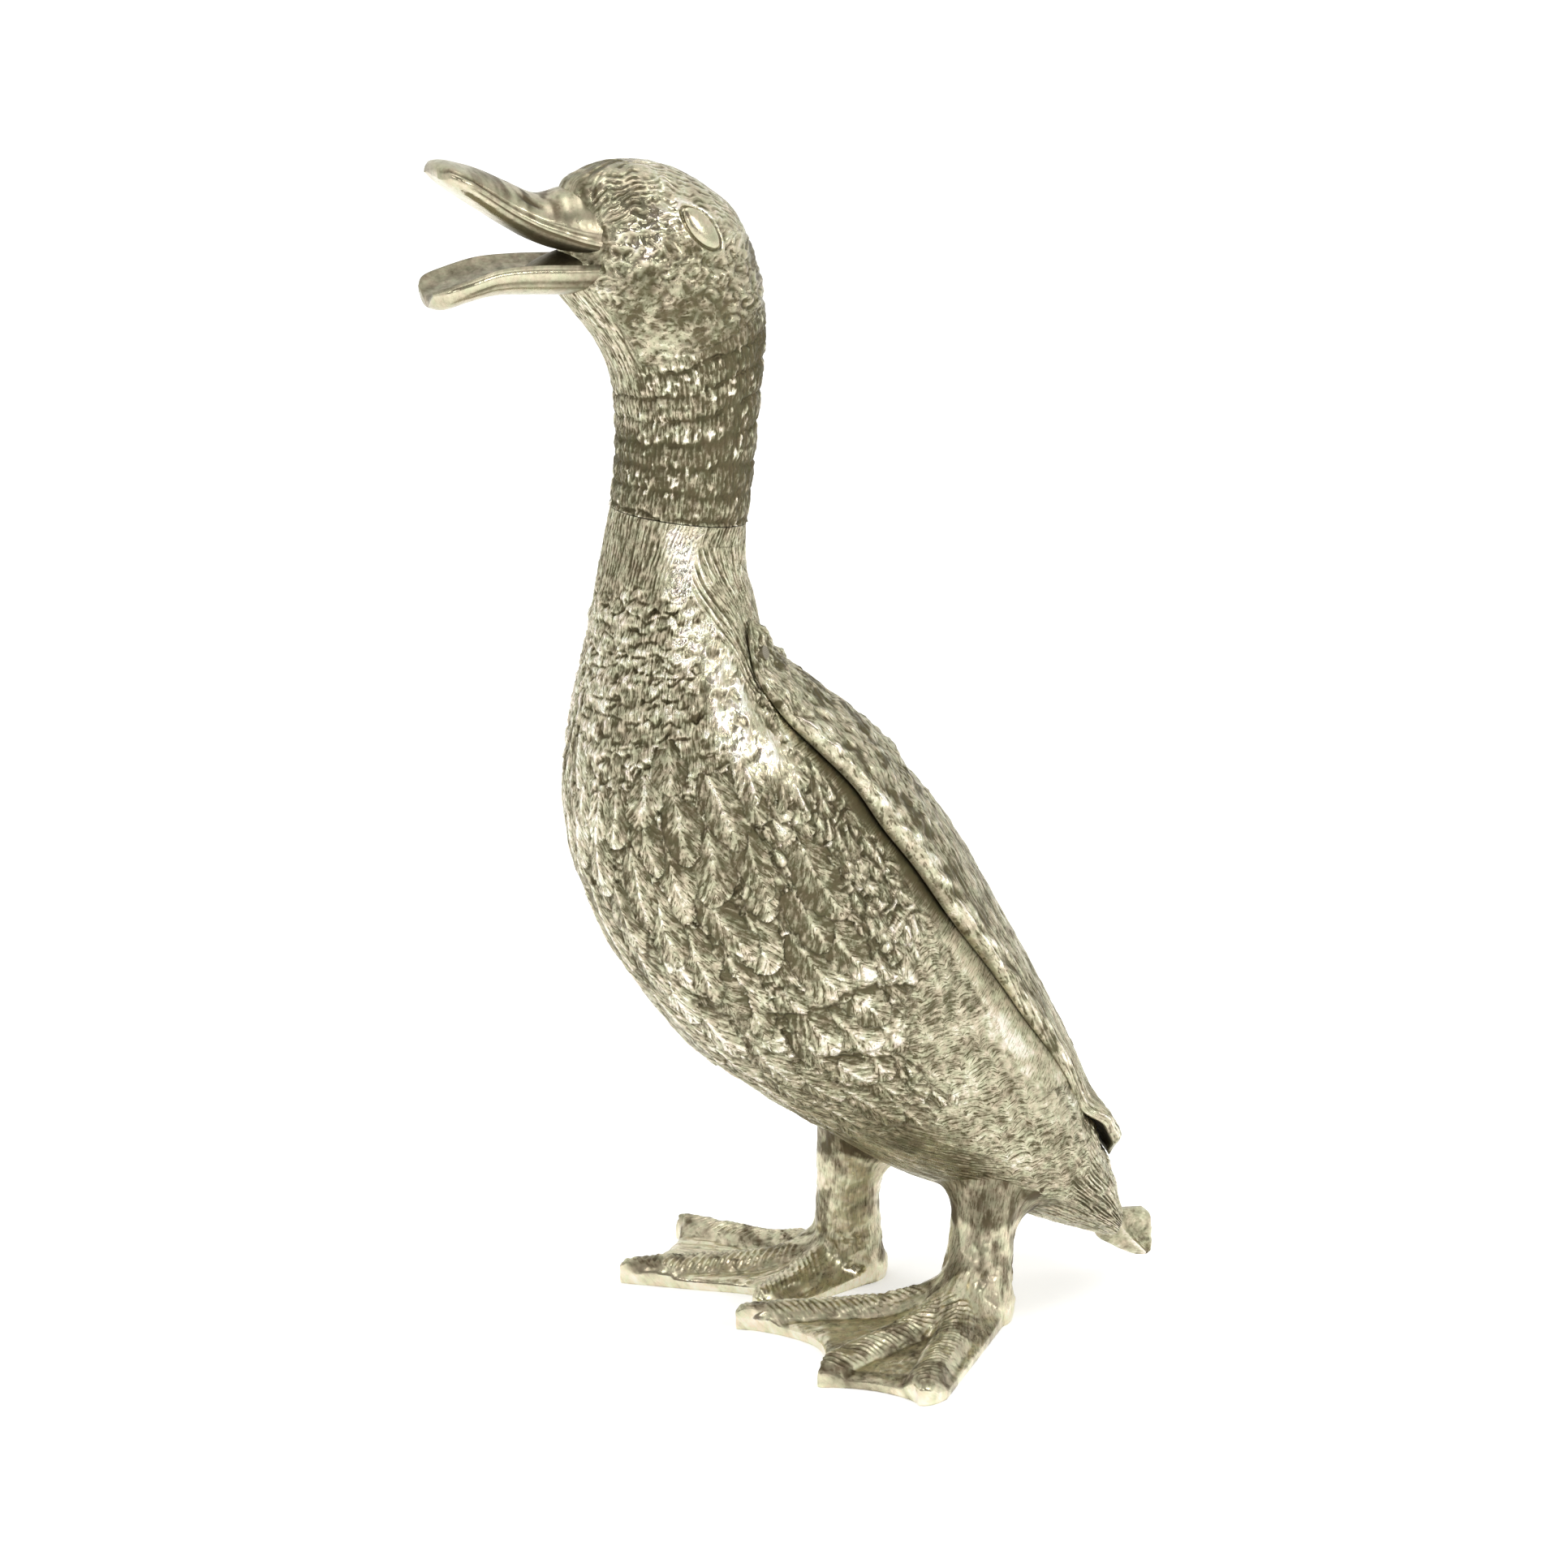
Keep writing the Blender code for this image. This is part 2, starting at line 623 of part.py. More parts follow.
def upper_bill_ring(row, out=0.0):
    """Section of the upper bill: a domed top, a lip and an underside that bulges below it."""
    top_y, top_z, lip_y, lip_z, half_width = [v * MM for v in row]
    half_width += out
    up = Vector((0.0, top_y - lip_y, top_z - lip_z))
    height = up.length + out
    up.normalize()
    lip = Vector((0.0, lip_y, lip_z)) - up * out
    rim = min(LIP_HEIGHT, 0.45 * height)
    ring = []
    for i in range(BILL_SEGMENTS):
        angle = 2 * pi * i / BILL_SEGMENTS
        across = sin(angle)
        if cos(angle) >= 0:
            rise = rim + (height - rim) * cos(angle) ** 0.9
        else:
            rise = rim * (1 - (-cos(angle)) ** 0.8)
        ring.append(lip + up * rise + Vector((half_width * across, 0.0, 0.0)))
    return ring


def lower_bill_ring(row, out=0.0):
    """Section of the lower bill: a rounded keel, round lips and a shallow trough."""
    rim_y, rim_z, keel_y, keel_z, half_width = [v * MM for v in row]
    half_width += out
    down = Vector((0.0, keel_y - rim_y, keel_z - rim_z))
    depth = down.length + 2 * out
    down.normalize()
    rim = Vector((0.0, rim_y, rim_z)) - down * out
    ring = []
    for i in range(BILL_SEGMENTS):
        angle = 2 * pi * i / BILL_SEGMENTS
        across = sin(angle)
        if cos(angle) >= 0:
            drop = depth * (0.25 + 0.75 * cos(angle) ** 0.8)
        else:
            trough = BILL_TROUGH * min(1.0, depth / (7 * MM))
            drop = trough * (1 - across ** 2) if out == 0 else 0.0
        ring.append(rim + down * drop + Vector((half_width * across, 0.0, 0.0)))
    return ring


def bill(name, rows, ring_of, out=0.0, last=None):
    last = len(rows) - 1 if last is None else last
    rings = [ring_of(smooth_row(rows, place), out) for place in lofted_places(0.0, last, 0.5)]
    return loft(name, rings)


def mouth_floor():
    """Root of the tongue: a rounded block that closes the throat between the bills."""
    rings = []
    low = LOWER_BILL_SECTIONS[2][1] * MM + TOUCH_GAP
    for y, rise in TONGUE_RISES:
        ring = []
        for i in range(TONGUE_SEGMENTS):
            angle = 2 * pi * i / TONGUE_SEGMENTS
            up = rise * MM * (0.5 + 0.5 * sin(angle))
            ring.append(Vector((TONGUE_HALF_WIDTH * cos(angle), y * MM, low + up)))
        rings.append(ring)
    return loft("mouth_floor_tool", rings)


def gape_wedge():
    """Open corner of the mouth between the lips, through the whole width of the face."""
    _, _, _, upper_lip, width = [v * MM for v in UPPER_BILL_SECTIONS[2]]
    lower_rim = LOWER_BILL_SECTIONS[1][1] * MM + TOUCH_GAP
    corner = UPPER_BILL_SECTIONS[0][3] * MM - TOUCH_GAP
    profile = ((GAPE_BACK, corner), (GAPE_FRONT, upper_lip), (GAPE_FRONT, lower_rim),
               (GAPE_BACK, lower_rim))
    half = 1.6 * width
    return loft("gape_wedge", [[Vector((x, y, z)) for y, z in profile] for x in (-half, half)])


def almond(name, side, out):
    """Eye dome: a flattened ball on the cheek, tilted down towards the nape."""
    centre = section_point(HEAD_SECTIONS, EYE_STATION, radians(EYE_ANGLE))
    normal = section_normal(HEAD_SECTIONS, EYE_STATION, radians(EYE_ANGLE))
    slope = radians(EYE_TILT)
    long_way = Vector((0.0, cos(slope), -sin(slope)))
    long_way = (long_way - normal * long_way.dot(normal)).normalized()
    short_way = normal.cross(long_way)
    bm = bmesh.new()
    bmesh.ops.create_uvsphere(bm, u_segments=20, v_segments=10, radius=1.0)
    for vert in bm.verts:
        x, y, z = vert.co
        point = centre - normal * EYE_SINK
        point += long_way * (x * (EYE_LENGTH / 2 + out))
        point += short_way * (y * (EYE_HEIGHT / 2 + out) * (1 - 0.25 * abs(x)))
        point += normal * (z * (EYE_DOME + out))
        point.x *= side
        vert.co = point
    return mesh_object(name, bm)


def foot_edge(toes, webs, turn):
    """Length of the webbed foot in a direction: full at the toes, drawn in between."""
    if turn <= toes[0][0]:
        return toes[0][1]
    for (near, near_length), (far, far_length), drawn_in in zip(toes, toes[1:], webs):
        if turn <= far:
            f = (turn - near) / (far - near)
            straight = near_length + (far_length - near_length) * f
            return straight - drawn_in * sin(pi * f) ** 0.6
    return toes[-1][1]


def foot_spokes(toes):
    """Spokes of the foot as direction and share of the toe's half width sideways."""
    count = 26
    first, last = toes[0][0], toes[-1][0]
    spokes = [(first, -1.0), (first, -0.5)]
    spokes += [(first + (last - first) * i / count, 0.0) for i in range(count + 1)]
    return spokes + [(last, 0.5), (last, 1.0)]


def foot_height(toes, turn, shift, reach, edge):
    """Height of the foot's upper face: web, toe ridges and the rise of the instep."""
    height = FOOT_PLATE
    for toe, _ in toes:
        off = abs(radians(turn - toe) * reach + shift)
        ridge = max(0.0, 1 - (off / TOE_RIDGE_WIDTH) ** 2)
        height += TOE_RIDGE * ridge * (1 - 0.15 * (reach / edge) ** 2)
    return height + INSTEP_RISE * max(0.0, 1 - reach / INSTEP_LENGTH) ** 2


def foot_plate(name, side, ankle, toes, webs):
    """Webbed plate, drawn as spokes that fan out from the ankle, with a flat sole."""
    spokes = foot_spokes(toes)
    last, steps = len(spokes) - 1, 13
    bm = bmesh.new()
    upper, below = [], {}
    for i, (turn, share) in enumerate(spokes):
        edge = foot_edge(toes, webs, turn) - 2.0 * share ** 2 * MM
        heading = radians(turn) * side
        ahead = Vector((sin(heading), -cos(heading), 0.0))
        outwards = Vector((cos(heading), sin(heading), 0.0)) * side
        row = []
        for k in range(steps + 1):
            reach = 3 * MM + (edge - 3 * MM) * k / steps
            shift = share * (ROOT_HALF_WIDTH + (TOE_HALF_WIDTH - ROOT_HALF_WIDTH) * k / steps)
            height = foot_height(toes, turn, shift, reach, edge)
            if k == steps:
                height *= 0.88
            place = Vector((ankle[0], ankle[1], 0.0)) + ahead * reach + outwards * shift
            row.append(bm.verts.new(place + Vector((0.0, 0.0, height))))
            if k in (0, steps) or i in (0, last):
                below[(i, k)] = bm.verts.new(place)
        upper.append(row)
    for i in range(last):
        for k in range(steps):
            bm.faces.new((upper[i][k], upper[i + 1][k], upper[i + 1][k + 1], upper[i][k + 1]))
        for k in (0, steps):
            bm.faces.new((upper[i][k], upper[i + 1][k], below[(i + 1, k)], below[(i, k)]))
    for k in range(steps):
        for i in (0, last):
            bm.faces.new((upper[i][k], upper[i][k + 1], below[(i, k + 1)], below[(i, k)]))
    rim = [below[(i, 0)] for i in range(last + 1)]
    rim += [below[(last, k)] for k in range(1, steps + 1)]
    rim += [below[(i, steps)] for i in range(last - 1, -1, -1)]
    rim += [below[(0, k)] for k in range(steps - 1, 0, -1)]
    bm.faces.new(rim)
    return mesh_object(name, bm)


def leg_column(name, ankle, skin):
    """Leg from the heel up into the body, flared where it meets the skin that trims it."""
    foot, axis = leg_axis(ankle)
    flare = skin - THIGH_FLARE
    profile = ((0.0, HEEL_RADIUS * 0.95, HEEL_BACK), (2 * MM, HEEL_RADIUS, HEEL_BACK),
               (ANKLE_HEIGHT / 2, HEEL_RADIUS, HEEL_BACK), (ANKLE_HEIGHT, SHANK_RADIUS * 1.04, 0.0),
               ((ANKLE_HEIGHT + flare) / 2, SHANK_RADIUS, 0.0), (flare, SHANK_RADIUS * 1.03, 0.0),
               (flare + THIGH_FLARE / 2, SHANK_RADIUS * 1.12, -THIGH_FORWARD / 2),
               (skin, THIGH_RADIUS, -THIGH_FORWARD),
               (skin + THIGH_FLARE, THIGH_RADIUS * 1.05, -THIGH_FORWARD))
    rings = []
    for height, radius, back in profile:
        ring = []
        centre = foot + axis * (height / axis.z) + Vector((0.0, back, 0.0))
        for i in range(ROUND_SEGMENTS):
            angle = 2 * pi * i / ROUND_SEGMENTS
            ring.append(centre + Vector((radius * cos(angle), radius * sin(angle), 0.0)))
        rings.append(ring)
    return loft(name, rings)


def curl_blade(name, out=0.0):
    """Curled tail feather: an upright leaf, bowed to the side, that narrows to its tip."""
    rows = [tuple(v * MM for v in row) for row in CURL_SECTIONS]
    count, last = 9, len(rows) - 1
    rings = []
    for place in lofted_places(0.0, last, 0.5):
        z, front_y, back_y, bow = smooth_row(rows, place)
        if out > 0:
            z += out * (1.0 if place < last / 2 else -1.0)
            front_y, back_y = front_y - out, back_y + out
        faces = []
        for side in (1.0, -1.0):
            for i in range(count + 1):
                f = i / count if side > 0 else 1 - i / count
                thin = (CURL_THICKNESS / 2) * (0.45 + 0.55 * sin(pi * f)) + out
                x = bow * (1 - (2 * f - 1) ** 2) + side * thin
                faces.append(Vector((x, front_y + (back_y - front_y) * f, z)))
        rings.append(faces)
    return loft(name, rings)


def build_body(materials):
    outer = solid_body("body_shell")
    hollow = cavity("body_hollow", BODY_SECTIONS, CAVITY_END, -1.0)
    seats = leg_seats(outer, hollow)
    for side, (foot, axis, skin, boss_top) in seats.items():
        boss = rod(side + "_boss_tool", foot + axis * (skin - 20 * MM), axis,
                   boss_top - skin + 20 * MM, BOSS_RADIUS)
        cut(hollow, boss)
    cut(outer, hollow)
    for side, (foot, axis, skin, boss_top) in seats.items():
        drill = rod(side + "_stud_drill", foot + axis * (skin - 30 * MM), axis,
                    boss_top - skin + 40 * MM, STUD_RADIUS + STUD_CLEARANCE)
        cut(outer, drill)
    for side, sign in (("left", 1), ("right", -1)):
        for place, peg in (("front", FRONT_PEG), ("rear", REAR_PEG)):
            start, axis, _ = peg_line(peg, sign)
            socket = rod(side + "_" + place + "_body_socket", start - axis * TOUCH_GAP, axis,
                         PEG_SOCKET + 6 * MM, PEG_RADIUS + TOUCH_GAP)
            cut(outer, socket)
    cut(outer, curl_blade("curl_slot", TOUCH_GAP))
    finish(outer, materials["silver"])
    return outer, seats


def build_head(materials):
    head = solid_head("head_shell")
    cut(head, bill("upper_bill_tool", UPPER_BILL_SECTIONS, upper_bill_ring), "UNION")
    hollow = cavity("head_hollow", HEAD_SECTIONS, HEAD_CAVITY_END, 1.0, 4.0)
    cut(head, hollow)
    cut(head, gape_wedge())
    cut(head, mouth_floor(), "UNION")
    cut(head, bill("lower_bill_seat", LOWER_BILL_SECTIONS, lower_bill_ring, TOUCH_GAP, 2.0))
    for side, sign in (("left", 1), ("right", -1)):
        cut(head, almond(side + "_eye_socket", sign, TOUCH_GAP))
        eye = almond(side + "_eye", sign, 0.0)
        finish(eye, materials["silver"])
    finish(head, materials["silver"])
    lower = bill("lower_bill", LOWER_BILL_SECTIONS, lower_bill_ring)
    finish(lower, materials["silver"])


def build_sleeve(materials):
    centre, axis, _ = seam_frame()
    sleeve = tube("neck_sleeve", centre - axis * SLEEVE_DEPTH, axis, 2 * SLEEVE_DEPTH,
                  SLEEVE_RADIUS, SLEEVE_RADIUS - SLEEVE_WALL, HOLLOW_SEGMENTS, HOLLOW_SEGMENTS)
    finish(sleeve, materials["brass"])


def build_wings(materials):
    for side, sign in (("left", 1), ("right", -1)):
        wing = wing_plate(side + "_wing", sign)
        for place, peg in (("front", FRONT_PEG), ("rear", REAR_PEG)):
            start, axis, length = peg_line(peg, sign)
            name = side + "_wing_" + place + "_peg"
            socket = rod(name + "_socket", start + axis * PEG_SOCKET, axis,
                         length - PEG_SOCKET + TOUCH_GAP, PEG_RADIUS + TOUCH_GAP)
            cut(wing, socket)
            pin = rod(name, start, axis, length, PEG_RADIUS, 16)
            finish(pin, materials["dark_silver"])
        finish(wing, materials["silver"])


def build_legs(materials, seats):
    legs = (("left", 1, LEFT_ANKLE, LEFT_TOES, LEFT_WEBS),
            ("right", -1, RIGHT_ANKLE, RIGHT_TOES, RIGHT_WEBS))
    for side, sign, ankle, toes, webs in legs:
        foot, axis, skin, boss_top = seats[side]
        leg = leg_column(side + "_leg", ankle, skin)
        cut(leg, foot_plate(side + "_foot_tool", sign, ankle, toes, webs), "UNION")
        cut(leg, solid_body(side + "_leg_trim", TOUCH_GAP, 8.0))
        stud_start = skin - STUD_DEPTH_IN_LEG
        drill = rod(side + "_leg_drill", foot + axis * (stud_start - TOUCH_GAP), axis,
                    STUD_DEPTH_IN_LEG + 30 * MM, STUD_RADIUS + STUD_CLEARANCE)
        cut(leg, drill)
        finish(leg, materials["silver"])

        washer_start = boss_top + TOUCH_GAP
        washer = tube(side + "_leg_washer", foot + axis * washer_start, axis, WASHER_THICKNESS,
                      WASHER_RADIUS, STUD_RADIUS + STUD_CLEARANCE)
        finish(washer, materials["brass"])
        nut_start = washer_start + WASHER_THICKNESS + TOUCH_GAP
        nut = tube(side + "_leg_nut", foot + axis * nut_start, axis, NUT_HEIGHT,
                   NUT_ACROSS_FLATS / 2 / cos(pi / 6), STUD_RADIUS + STUD_CLEARANCE, 6)
        finish(nut, materials["brass"])
        stud_end = nut_start + NUT_HEIGHT + THREAD_SHOWING
        stud = rod(side + "_leg_stud", foot + axis * stud_start, axis, stud_end - stud_start,
                   STUD_RADIUS)
        finish(stud, materials["steel"])


def build_tail_curl(materials):
    finish(curl_blade("tail_curl"), materials["silver"])


def stand_at_origin():
    """Hang everything on one empty and move the footprint's middle to the origin."""
    bpy.context.view_layer.update()
    graph = bpy.context.evaluated_depsgraph_get()
    lows, highs = [inf] * 3, [-inf] * 3
    for item in bpy.data.objects:
        if item.type != "MESH" or item.hide_render:
            continue
        mesh = item.evaluated_get(graph).to_mesh()
        for vert in mesh.vertices:
            for k in range(3):
                lows[k] = min(lows[k], vert.co[k])
                highs[k] = max(highs[k], vert.co[k])
    base = bpy.data.objects.new("duck_base", None)
    bpy.context.collection.objects.link(base)
    for item in bpy.data.objects:
        if item is not base:
            item.parent = base
    base.location = (-(lows[0] + highs[0]) / 2, -(lows[1] + highs[1]) / 2, -lows[2])
    bpy.context.view_layer.update()


clear_scene()
metals = {
    "silver": metal("silver", SILVER, 0.32),
    "dark_silver": metal("dark_silver", DARK_SILVER, 0.45),
    "brass": metal("brass", BRASS, 0.35),
    "steel": metal("steel", STEEL, 0.35),
}
body, leg_places = build_body(metals)
build_head(metals)
build_sleeve(metals)
build_wings(metals)
build_legs(metals, leg_places)
build_tail_curl(metals)
stand_at_origin()
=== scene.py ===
"""Studio scene of a standing duck, cast in pieces and silver plated, with aged feather relief.

Lengths in the tables are millimetres in the duck's own frame: it faces -Y, its left side is
+X, and its median plane is X = 0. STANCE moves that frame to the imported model's frame.
"""

import bpy
import bmesh
import numpy as np
from math import cos, pi, radians, sin
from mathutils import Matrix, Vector
from mathutils.bvhtree import BVHTree


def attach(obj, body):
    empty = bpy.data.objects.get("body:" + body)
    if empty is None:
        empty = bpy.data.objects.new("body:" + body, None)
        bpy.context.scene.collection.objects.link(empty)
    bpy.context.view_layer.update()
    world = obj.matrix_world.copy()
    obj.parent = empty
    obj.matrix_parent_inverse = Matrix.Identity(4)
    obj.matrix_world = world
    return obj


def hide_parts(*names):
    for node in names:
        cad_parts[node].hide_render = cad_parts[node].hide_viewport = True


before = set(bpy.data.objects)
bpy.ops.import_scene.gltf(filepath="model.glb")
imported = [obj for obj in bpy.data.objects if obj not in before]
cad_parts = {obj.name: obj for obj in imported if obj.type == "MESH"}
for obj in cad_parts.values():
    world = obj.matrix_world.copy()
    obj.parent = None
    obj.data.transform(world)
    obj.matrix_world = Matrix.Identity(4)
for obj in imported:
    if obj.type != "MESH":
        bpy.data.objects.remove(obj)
bpy.ops.object.select_all(action="DESELECT")
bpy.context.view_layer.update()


# Camera: a long lens looks at the duck's left side from a little in front and above.
STANCE = np.array((-3.934, -6.469, 0.0))
CAMERA_AZIMUTH = 68.5
CAMERA_ELEVATION = 15.0
CAMERA_DISTANCE = 1.3
CAMERA_HEIGHT = 0.149
LENS, SENSOR_WIDTH, NEAREST = 113.1, 36.0, 0.05

target = Vector((STANCE[0] / 1000, STANCE[1] / 1000, CAMERA_HEIGHT))
turn, rise = radians(CAMERA_AZIMUTH), radians(CAMERA_ELEVATION)
sight = Vector((cos(rise) * sin(turn), -cos(rise) * cos(turn), sin(rise)))
bpy.ops.object.camera_add(location=target + sight * CAMERA_DISTANCE)
camera = bpy.context.object
camera.rotation_euler = (-sight).to_track_quat("-Z", "Y").to_euler()
camera.data.lens = LENS
camera.data.sensor_width = SENSOR_WIDTH
camera.data.clip_start = NEAREST
bpy.context.scene.camera = camera


# Floor: a plain sweep of white paper. It looks bright to the camera, in the metal's mirror
# images and through clear things, and it keeps the duck's contact shadow.
PAPER_COLOUR = (0.93, 0.93, 0.93, 1.0)
PAPER_ROUGHNESS = 0.9
PAPER_GLOW = 0.42
WHITE = (1.0, 1.0, 1.0, 1.0)


def start_material(name):
    """New material, its node tree and its surface shader."""
    made = bpy.data.materials.new(name)
    made.use_nodes = True
    return made, made.node_tree, made.node_tree.nodes["Principled BSDF"]


def reckon(tree, kind, first, second, capped=False):
    """Output of a maths node on two sockets, or on a socket and a number."""
    node = tree.nodes.new("ShaderNodeMath")
    node.operation = kind
    node.use_clamp = capped
    tree.links.new(first, node.inputs[0])
    if isinstance(second, float):
        node.inputs[1].default_value = second
    else:
        tree.links.new(second, node.inputs[1])
    return node.outputs["Value"]


bpy.ops.mesh.primitive_plane_add(size=8.0, location=(0.0, 0.0, 0.0))
floor = bpy.context.object
floor.name = "studio_floor"
paper, tree, shader = start_material("white_paper")
shader.inputs["Base Color"].default_value = PAPER_COLOUR
shader.inputs["Roughness"].default_value = PAPER_ROUGHNESS
shader.inputs["Specular IOR Level"].default_value = 0.0
shader.inputs["Emission Color"].default_value = WHITE
path = tree.nodes.new("ShaderNodeLightPath")
seen = reckon(tree, "ADD", path.outputs["Is Camera Ray"], path.outputs["Is Glossy Ray"], True)
seen = reckon(tree, "ADD", seen, path.outputs["Is Transmission Ray"], True)
tree.links.new(reckon(tree, "MULTIPLY", seen, PAPER_GLOW), shader.inputs["Emission Strength"])
floor.data.materials.append(paper)


# Studio: white paper all round, a dim room behind the camera, and soft lamps.
DIM_SIDE = (0.90, -0.36, 0.24)
PALE_ROOM = (1.0, 1.0, 0.98, 1.0)
DIM_ROOM = (0.24, 0.22, 0.20, 1.0)
scene = bpy.context.scene
scene.view_settings.view_transform = "Standard"
room = bpy.data.worlds.new("studio")
scene.world = room
room.use_nodes = True
nodes, links = room.node_tree.nodes, room.node_tree.links
nodes.clear()
output = nodes.new("ShaderNodeOutputWorld")
blend = nodes.new("ShaderNodeMixShader")
white = nodes.new("ShaderNodeBackground")
white.inputs["Color"].default_value = WHITE
white.inputs["Strength"].default_value = 1.0
around = nodes.new("ShaderNodeBackground")
around.inputs["Strength"].default_value = 1.0
path = nodes.new("ShaderNodeLightPath")
where = nodes.new("ShaderNodeTexCoord")
facing = nodes.new("ShaderNodeVectorMath")
facing.operation = "DOT_PRODUCT"
facing.inputs[1].default_value = DIM_SIDE
dimness = nodes.new("ShaderNodeValToRGB")
dimness.color_ramp.interpolation = "EASE"
for stop, position, colour in zip(dimness.color_ramp.elements, (0.40, 0.80), (PALE_ROOM, DIM_ROOM)):
    stop.position = position
    stop.color = colour
links.new(where.outputs["Generated"], facing.inputs[0])
links.new(facing.outputs["Value"], dimness.inputs["Fac"])
links.new(dimness.outputs["Color"], around.inputs["Color"])
links.new(path.outputs["Is Camera Ray"], blend.inputs["Fac"])
links.new(around.outputs["Background"], blend.inputs[1])
links.new(white.outputs["Background"], blend.inputs[2])
links.new(blend.outputs["Shader"], output.inputs["Surface"])

# Each lamp: its place and its size in metres, and its power. All look at the duck's middle.
LAMPS = (
    ("window_softbox", (1.30, 0.62, 0.82), 0.42, 5.3),
    ("front_left_softbox", (0.75, -1.35, 1.05), 0.40, 2.6),
    ("overhead_softbox", (0.10, 0.05, 1.70), 0.90, 3.6),
    ("camera_side_softbox", (1.05, -0.50, 0.52), 0.22, 1.1),
)
LAMPS_LOOK_AT = Vector((0.0, 0.0, 0.16))
for name, place, size, power in LAMPS:
    bpy.ops.object.light_add(type="AREA", location=place)
    lamp = bpy.context.object
    lamp.name = name
    lamp.data.size = size
    lamp.data.energy = power
    aim = LAMPS_LOOK_AT - Vector(place)
    lamp.rotation_euler = aim.to_track_quat("-Z", "Y").to_euler()
bpy.ops.object.select_all(action="DESELECT")


# Body casting: breast, belly and rump in one hollow casting, plated and darkened, then rubbed
# bright on the high spots. Its feathers are modelled in the casting and tooled by hand.
# Its mesh is kept in five bands, because one mesh of it all would be too large for its file.
# Each row: Y and Z on the belly's line, Y and Z on the back's line, and the half width.
BODY_ROWS = np.array((
    (-46.9, 226.5, -11.9, 221.5, 18.0),
    (-49.4, 214.5, -11.8, 210.0, 18.4),
    (-51.8, 203.0, -9.8, 202.5, 20.5),
    (-53.4, 191.0, -8.2, 193.8, 24.0),
    (-56.0, 178.5, -6.0, 185.4, 28.5),
    (-58.4, 163.0, 1.0, 177.7, 33.5),
    (-59.0, 146.4, 10.8, 169.8, 38.0),
    (-55.9, 129.1, 20.6, 160.8, 41.0),
    (-48.4, 111.0, 28.2, 151.0, 42.5),
    (-37.8, 94.2, 36.8, 141.0, 42.5),
    (-24.3, 78.2, 45.4, 128.0, 41.5),
    (-7.6, 65.3, 54.2, 113.7, 38.5),
    (10.2, 52.6, 61.9, 99.8, 36.0),
    (30.5, 39.2, 70.1, 84.2, 34.5),
    (51.0, 29.8, 78.2, 67.6, 32.0),
    (70.0, 21.0, 85.4, 51.4, 27.0),
    (83.5, 15.4, 91.2, 38.6, 20.6),
    (93.5, 11.6, 95.4, 26.0, 14.2),
))
BODY_COLUMNS = 600
BAND_ROWS = 160
BANDS = ("body_collar", "body_breast", "body_belly", "body_flank", "body_rump")
CAST_WALL = 2.6
LINING_STEP = 20
LINING_TARNISH = 0.7
TAIL_RINGS = 12
TAIL_BULGE = 2.0


def smooth_rows(rows, place):
    """Rows at fractional places, on a smooth curve through the table."""
    last = len(rows) - 1
    place = np.clip(place, 0.0, last)
    i = np.minimum(place.astype(int), last - 1)
    f = (place - i)[..., None]
    before, here = rows[np.maximum(i - 1, 0)], rows[i]
    ahead, beyond = rows[i + 1], rows[np.minimum(i + 2, last)]
    bend = ((2 * before - 5 * here + 4 * ahead - beyond) * f ** 2
            + (3 * here - before - 3 * ahead + beyond) * f ** 3)
    return 0.5 * (2 * here + (ahead - before) * f + bend)


def skin(rows, place, angle, pinch=0.0):
    """Points of a lofted skin. Angle 0 is the back, a quarter turn is the left side."""
    row = smooth_rows(rows, place)
    across = row[..., 4] * np.sin(angle) * (1.0 - pinch * np.maximum(0.0, -np.cos(angle)) ** 2)
    along_y = (row[..., 0] + row[..., 2]) / 2 + (row[..., 2] - row[..., 0]) / 2 * np.cos(angle)
    along_z = (row[..., 1] + row[..., 3]) / 2 + (row[..., 3] - row[..., 1]) / 2 * np.cos(angle)
    return np.stack((across, along_y, along_z), -1)


def chance(i, j, seed):
    """Steady pseudo-random number from 0 to 1 for each pair of whole numbers."""
    n = i.astype(np.int64) * 374761393 + j.astype(np.int64) * 668265263 + seed * 1442695041
    n = (n ^ (n >> 13)) & 0xFFFFFFFF
    n = (n * 1274126177) & 0xFFFFFFFF
    return ((n ^ (n >> 16)) & 0xFFFFFF) / 16777216.0


def ease(low, high, value):
    """0 up to low and 1 from high on, with a smooth step between them."""
    f = np.clip((value - low) / (high - low), 0.0, 1.0)
    return f * f * (3 - 2 * f)


def hump(value, middle, width):
    """1 at the middle, with a smooth fall to nearly 0 at two widths from it."""
    return np.exp(-((value - middle) / width) ** 2)


def wander(x, y, seed):
    """Smooth noise from -1 to 1."""
    i, j = np.floor(x), np.floor(y)
    f, g = x - i, y - j
    f, g = f * f * (3 - 2 * f), g * g * (3 - 2 * g)
    low = chance(i, j, seed) * (1 - f) + chance(i + 1, j, seed) * f
    high = chance(i, j + 1, seed) * (1 - f) + chance(i + 1, j + 1, seed) * f
    return 2 * (low * (1 - g) + high * g) - 1


def mottle(x, y, seed):
    """Noise with finer and finer grain added."""
    return (wander(x, y, seed) * 0.55 + wander(2.1 * x, 2.1 * y, seed + 1) * 0.3
            + wander(4.3 * x, 4.3 * y, seed + 2) * 0.15)


